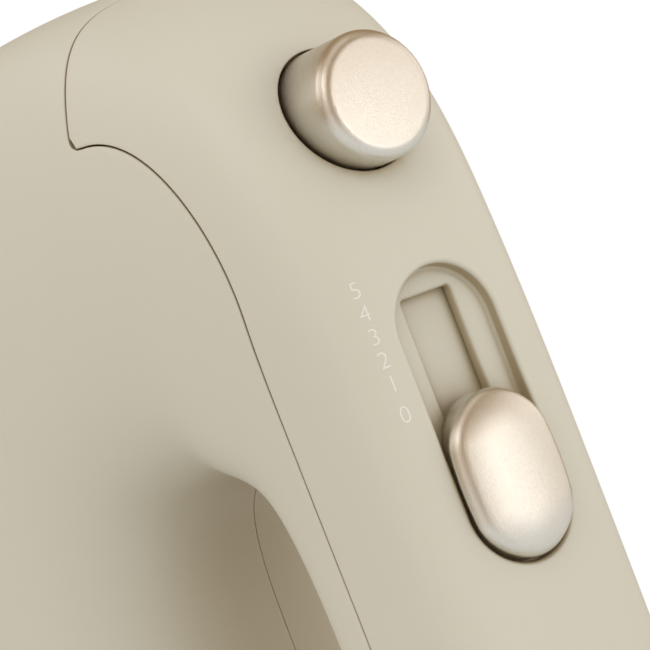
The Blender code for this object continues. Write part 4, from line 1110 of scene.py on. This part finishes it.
# %% Beaters
STRIP_HALF_WIDTH = 2.0 * MM
STRIP_HALF_THICK = 0.7 * MM
STRIP_CORNER = 0.45 * MM
CAGE_RADIUS = 24.0 * MM
CAGE_HEIGHT = 74.0 * MM
SHOULDER, FOOT = 9.0 * MM, 17.0 * MM
SPINDLE_RADIUS = 2.5 * MM
COLLAR_RADIUS = 4.4 * MM


def strip_path(bottom, top):
    """The strip's bend as (out, along) points, from collar to collar."""
    half = [(1.0 * MM, top)] + arc((CAGE_RADIUS - SHOULDER, top - SHOULDER), (SHOULDER, SHOULDER), 90, 0, 16)
    half += arc((CAGE_RADIUS - FOOT, bottom + FOOT + STRIP_HALF_THICK), (FOOT, FOOT), 0, -90, 22)
    half += [(0.0, bottom + STRIP_HALF_THICK)]
    return half + [(-out, along) for out, along in reversed(half[:-1])]


def sweep_strip(bm, centre, angle, bottom, top):
    points = np.array(strip_path(bottom, top))
    tangent = np.gradient(points, axis=0)
    tangent /= np.linalg.norm(tangent, axis=1)[:, None]
    normal = np.stack([-tangent[:, 1], tangent[:, 0]], 1)
    radial = Vector((0, math.cos(angle), math.sin(angle)))
    across = Vector((0, -math.sin(angle), math.cos(angle)))
    section = rounded_rectangle(-STRIP_HALF_THICK, STRIP_HALF_THICK, -STRIP_HALF_WIDTH, STRIP_HALF_WIDTH,
                                STRIP_CORNER, 4)
    rings = []
    for (out, along), (n_out, n_along) in zip(points, normal):
        rings.append([bm.verts.new(Vector((along + thick * n_along, *centre)) + radial * (out + thick * n_out)
                                   + across * wide) for thick, wide in section])
    for first, second in zip(rings, rings[1:]):
        bridge(bm, first, second)
    bm.faces.new(rings[0])
    bm.faces.new(rings[-1])


def beater(name, node, body, side, start):
    centre = (side * BEATER_Y, BEATER_Z)
    bottom, tip = corner(node, False, 0), corner(node, True, 0)
    top = bottom + CAGE_HEIGHT
    neck = -ORIGIN_UP
    collar, fillet = COLLAR_RADIUS, 0.5 * MM
    spindle = SPINDLE_RADIUS
    profile = [(0.0, top - 4 * MM), (collar - fillet, top - 4 * MM), (collar, top - 4 * MM + fillet),
               (collar, top + 2 * MM), (spindle + 0.3 * MM, top + 4 * MM), (spindle, top + 5 * MM),
               (spindle, neck - 14 * MM), (collar - fillet, neck - 13.2 * MM), (collar, neck - 12.7 * MM),
               (collar, neck - 11.3 * MM), (collar - fillet, neck - 10.8 * MM), (spindle, neck - 10 * MM),
               (spindle, tip - 1.2 * MM), (spindle - 0.9 * MM, tip), (0.0, tip)]
    bm = bmesh.new()
    turned(bm, profile, "x", centre, 64)
    for k in range(2):
        sweep_strip(bm, centre, start + k * math.pi / 2, bottom + 0.5 * MM * k, top - 0.5 * MM * k)
    return piece(name, bm, STEEL, body, (node,), sharp=50.0)


beater("left_beater_wire", "beater_left", "left_beater", -1, 0.0)
beater("right_beater_wire", "beater_right", "right_beater", 1, math.pi / 4)

# %% [markdown]
# ## Carried-over pieces
# The motor, the gears, the switch and the other inner pieces already have their right shape, so they only
# take the finish that their slot in the record names.

# %% Inner pieces
count = 0
for part in frame["record"]["subparts"]:
    node = bpy.data.objects.get(part["node"])
    if node is None or node.type != "MESH":
        continue
    node.data.materials.clear()
    node.data.materials.append(SLOT_FINISH[part["material_slot"]])
    count += 1
print("finished", count, "carried-over pieces")

# %% [markdown]
# ## Floor, light and surroundings
# The mixer stands on a plain pale floor under soft light. Metal shows what stands round it: eight soft
# lights look at the upper front, and mirrored rays that miss them meet a warm brown surround, which is what
# draws the darker bands on the button and the knob. The fill light is hidden from mirrored rays.

# %% Floor and light
FLOOR_HALF = 0.7
LIGHT_DISTANCE = 0.9


def floor():
    bm = bmesh.new()
    bmesh.ops.create_grid(bm, x_segments=1, y_segments=1, size=FLOOR_HALF)
    mesh = bpy.data.meshes.new("floor")
    bm.to_mesh(mesh)
    bm.free()
    made = bpy.data.objects.new("floor", mesh)
    mesh.materials.append(finish("floor_paper", ((0.80, 0.80, 0.79), (0.83, 0.83, 0.82)), (0.7, 0.8)))
    bpy.context.scene.collection.objects.link(made)


def area_light(name, towards, size, power):
    """A soft rectangular light that looks at the mixer's upper front from a direction."""
    data = bpy.data.lights.new(name, "AREA")
    data.shape = "RECTANGLE"
    data.size, data.size_y = size
    data.energy = power
    made = bpy.data.objects.new(name, data)
    bpy.context.scene.collection.objects.link(made)
    direction = Vector(towards).normalized()
    made.location = AIM + direction * LIGHT_DISTANCE
    made.rotation_euler = direction.to_track_quat("Z", "Y").to_euler()
    return made


def surroundings():
    """White for the camera, a pale surround for diffuse light and a warm one for mirrored rays."""
    world = bpy.data.worlds.new("studio")
    world.use_nodes = True
    tree = world.node_tree
    backdrop = tree.nodes["Background"]
    backdrop.inputs["Color"].default_value = (1.0, 1.0, 1.0, 1.0)
    ambient = add(tree, "ShaderNodeBackground", {"Color": (1.0, 0.99, 0.97, 1.0), "Strength": 0.75})
    mirrored = add(tree, "ShaderNodeBackground", {"Color": (0.44, 0.30, 0.17, 1.0), "Strength": 0.95})
    ray = add(tree, "ShaderNodeLightPath")
    seen = add(tree, "ShaderNodeMixShader", {0: ray.outputs["Is Glossy Ray"], 1: ambient.outputs[0],
                                             2: mirrored.outputs[0]})
    mixed = add(tree, "ShaderNodeMixShader", {0: ray.outputs["Is Camera Ray"], 1: seen.outputs[0],
                                              2: backdrop.outputs[0]})
    tree.links.new(mixed.outputs[0], tree.nodes["World Output"].inputs["Surface"])
    bpy.context.scene.world = world


floor()
surroundings()
area_light("face_light", (0.92, 0.38, -0.10), (0.45, 0.45), 1.6)
area_light("edge_light", (0.60, 0.78, 0.10), (0.5, 0.5), 0.55)
area_light("left_light", (0.50, -0.60, 0.60), (0.5, 0.5), 1.45)
area_light("back_light", (-0.36, -0.64, 0.61), (0.6, 0.6), 1.35)
area_light("low_light", (0.40, -0.90, -0.10), (0.5, 0.5), 0.45)
area_light("top_light", (0.40, 0.22, 0.85), (0.7, 0.5), 0.55)
area_light("fill_light", (0.95, 0.05, -0.30), (0.6, 0.6), 0.9).visible_glossy = False
area_light("right_light", (0.10, 0.95, 0.20), (0.5, 0.5), 0.8)
bpy.context.scene.view_settings.view_transform = "Standard"
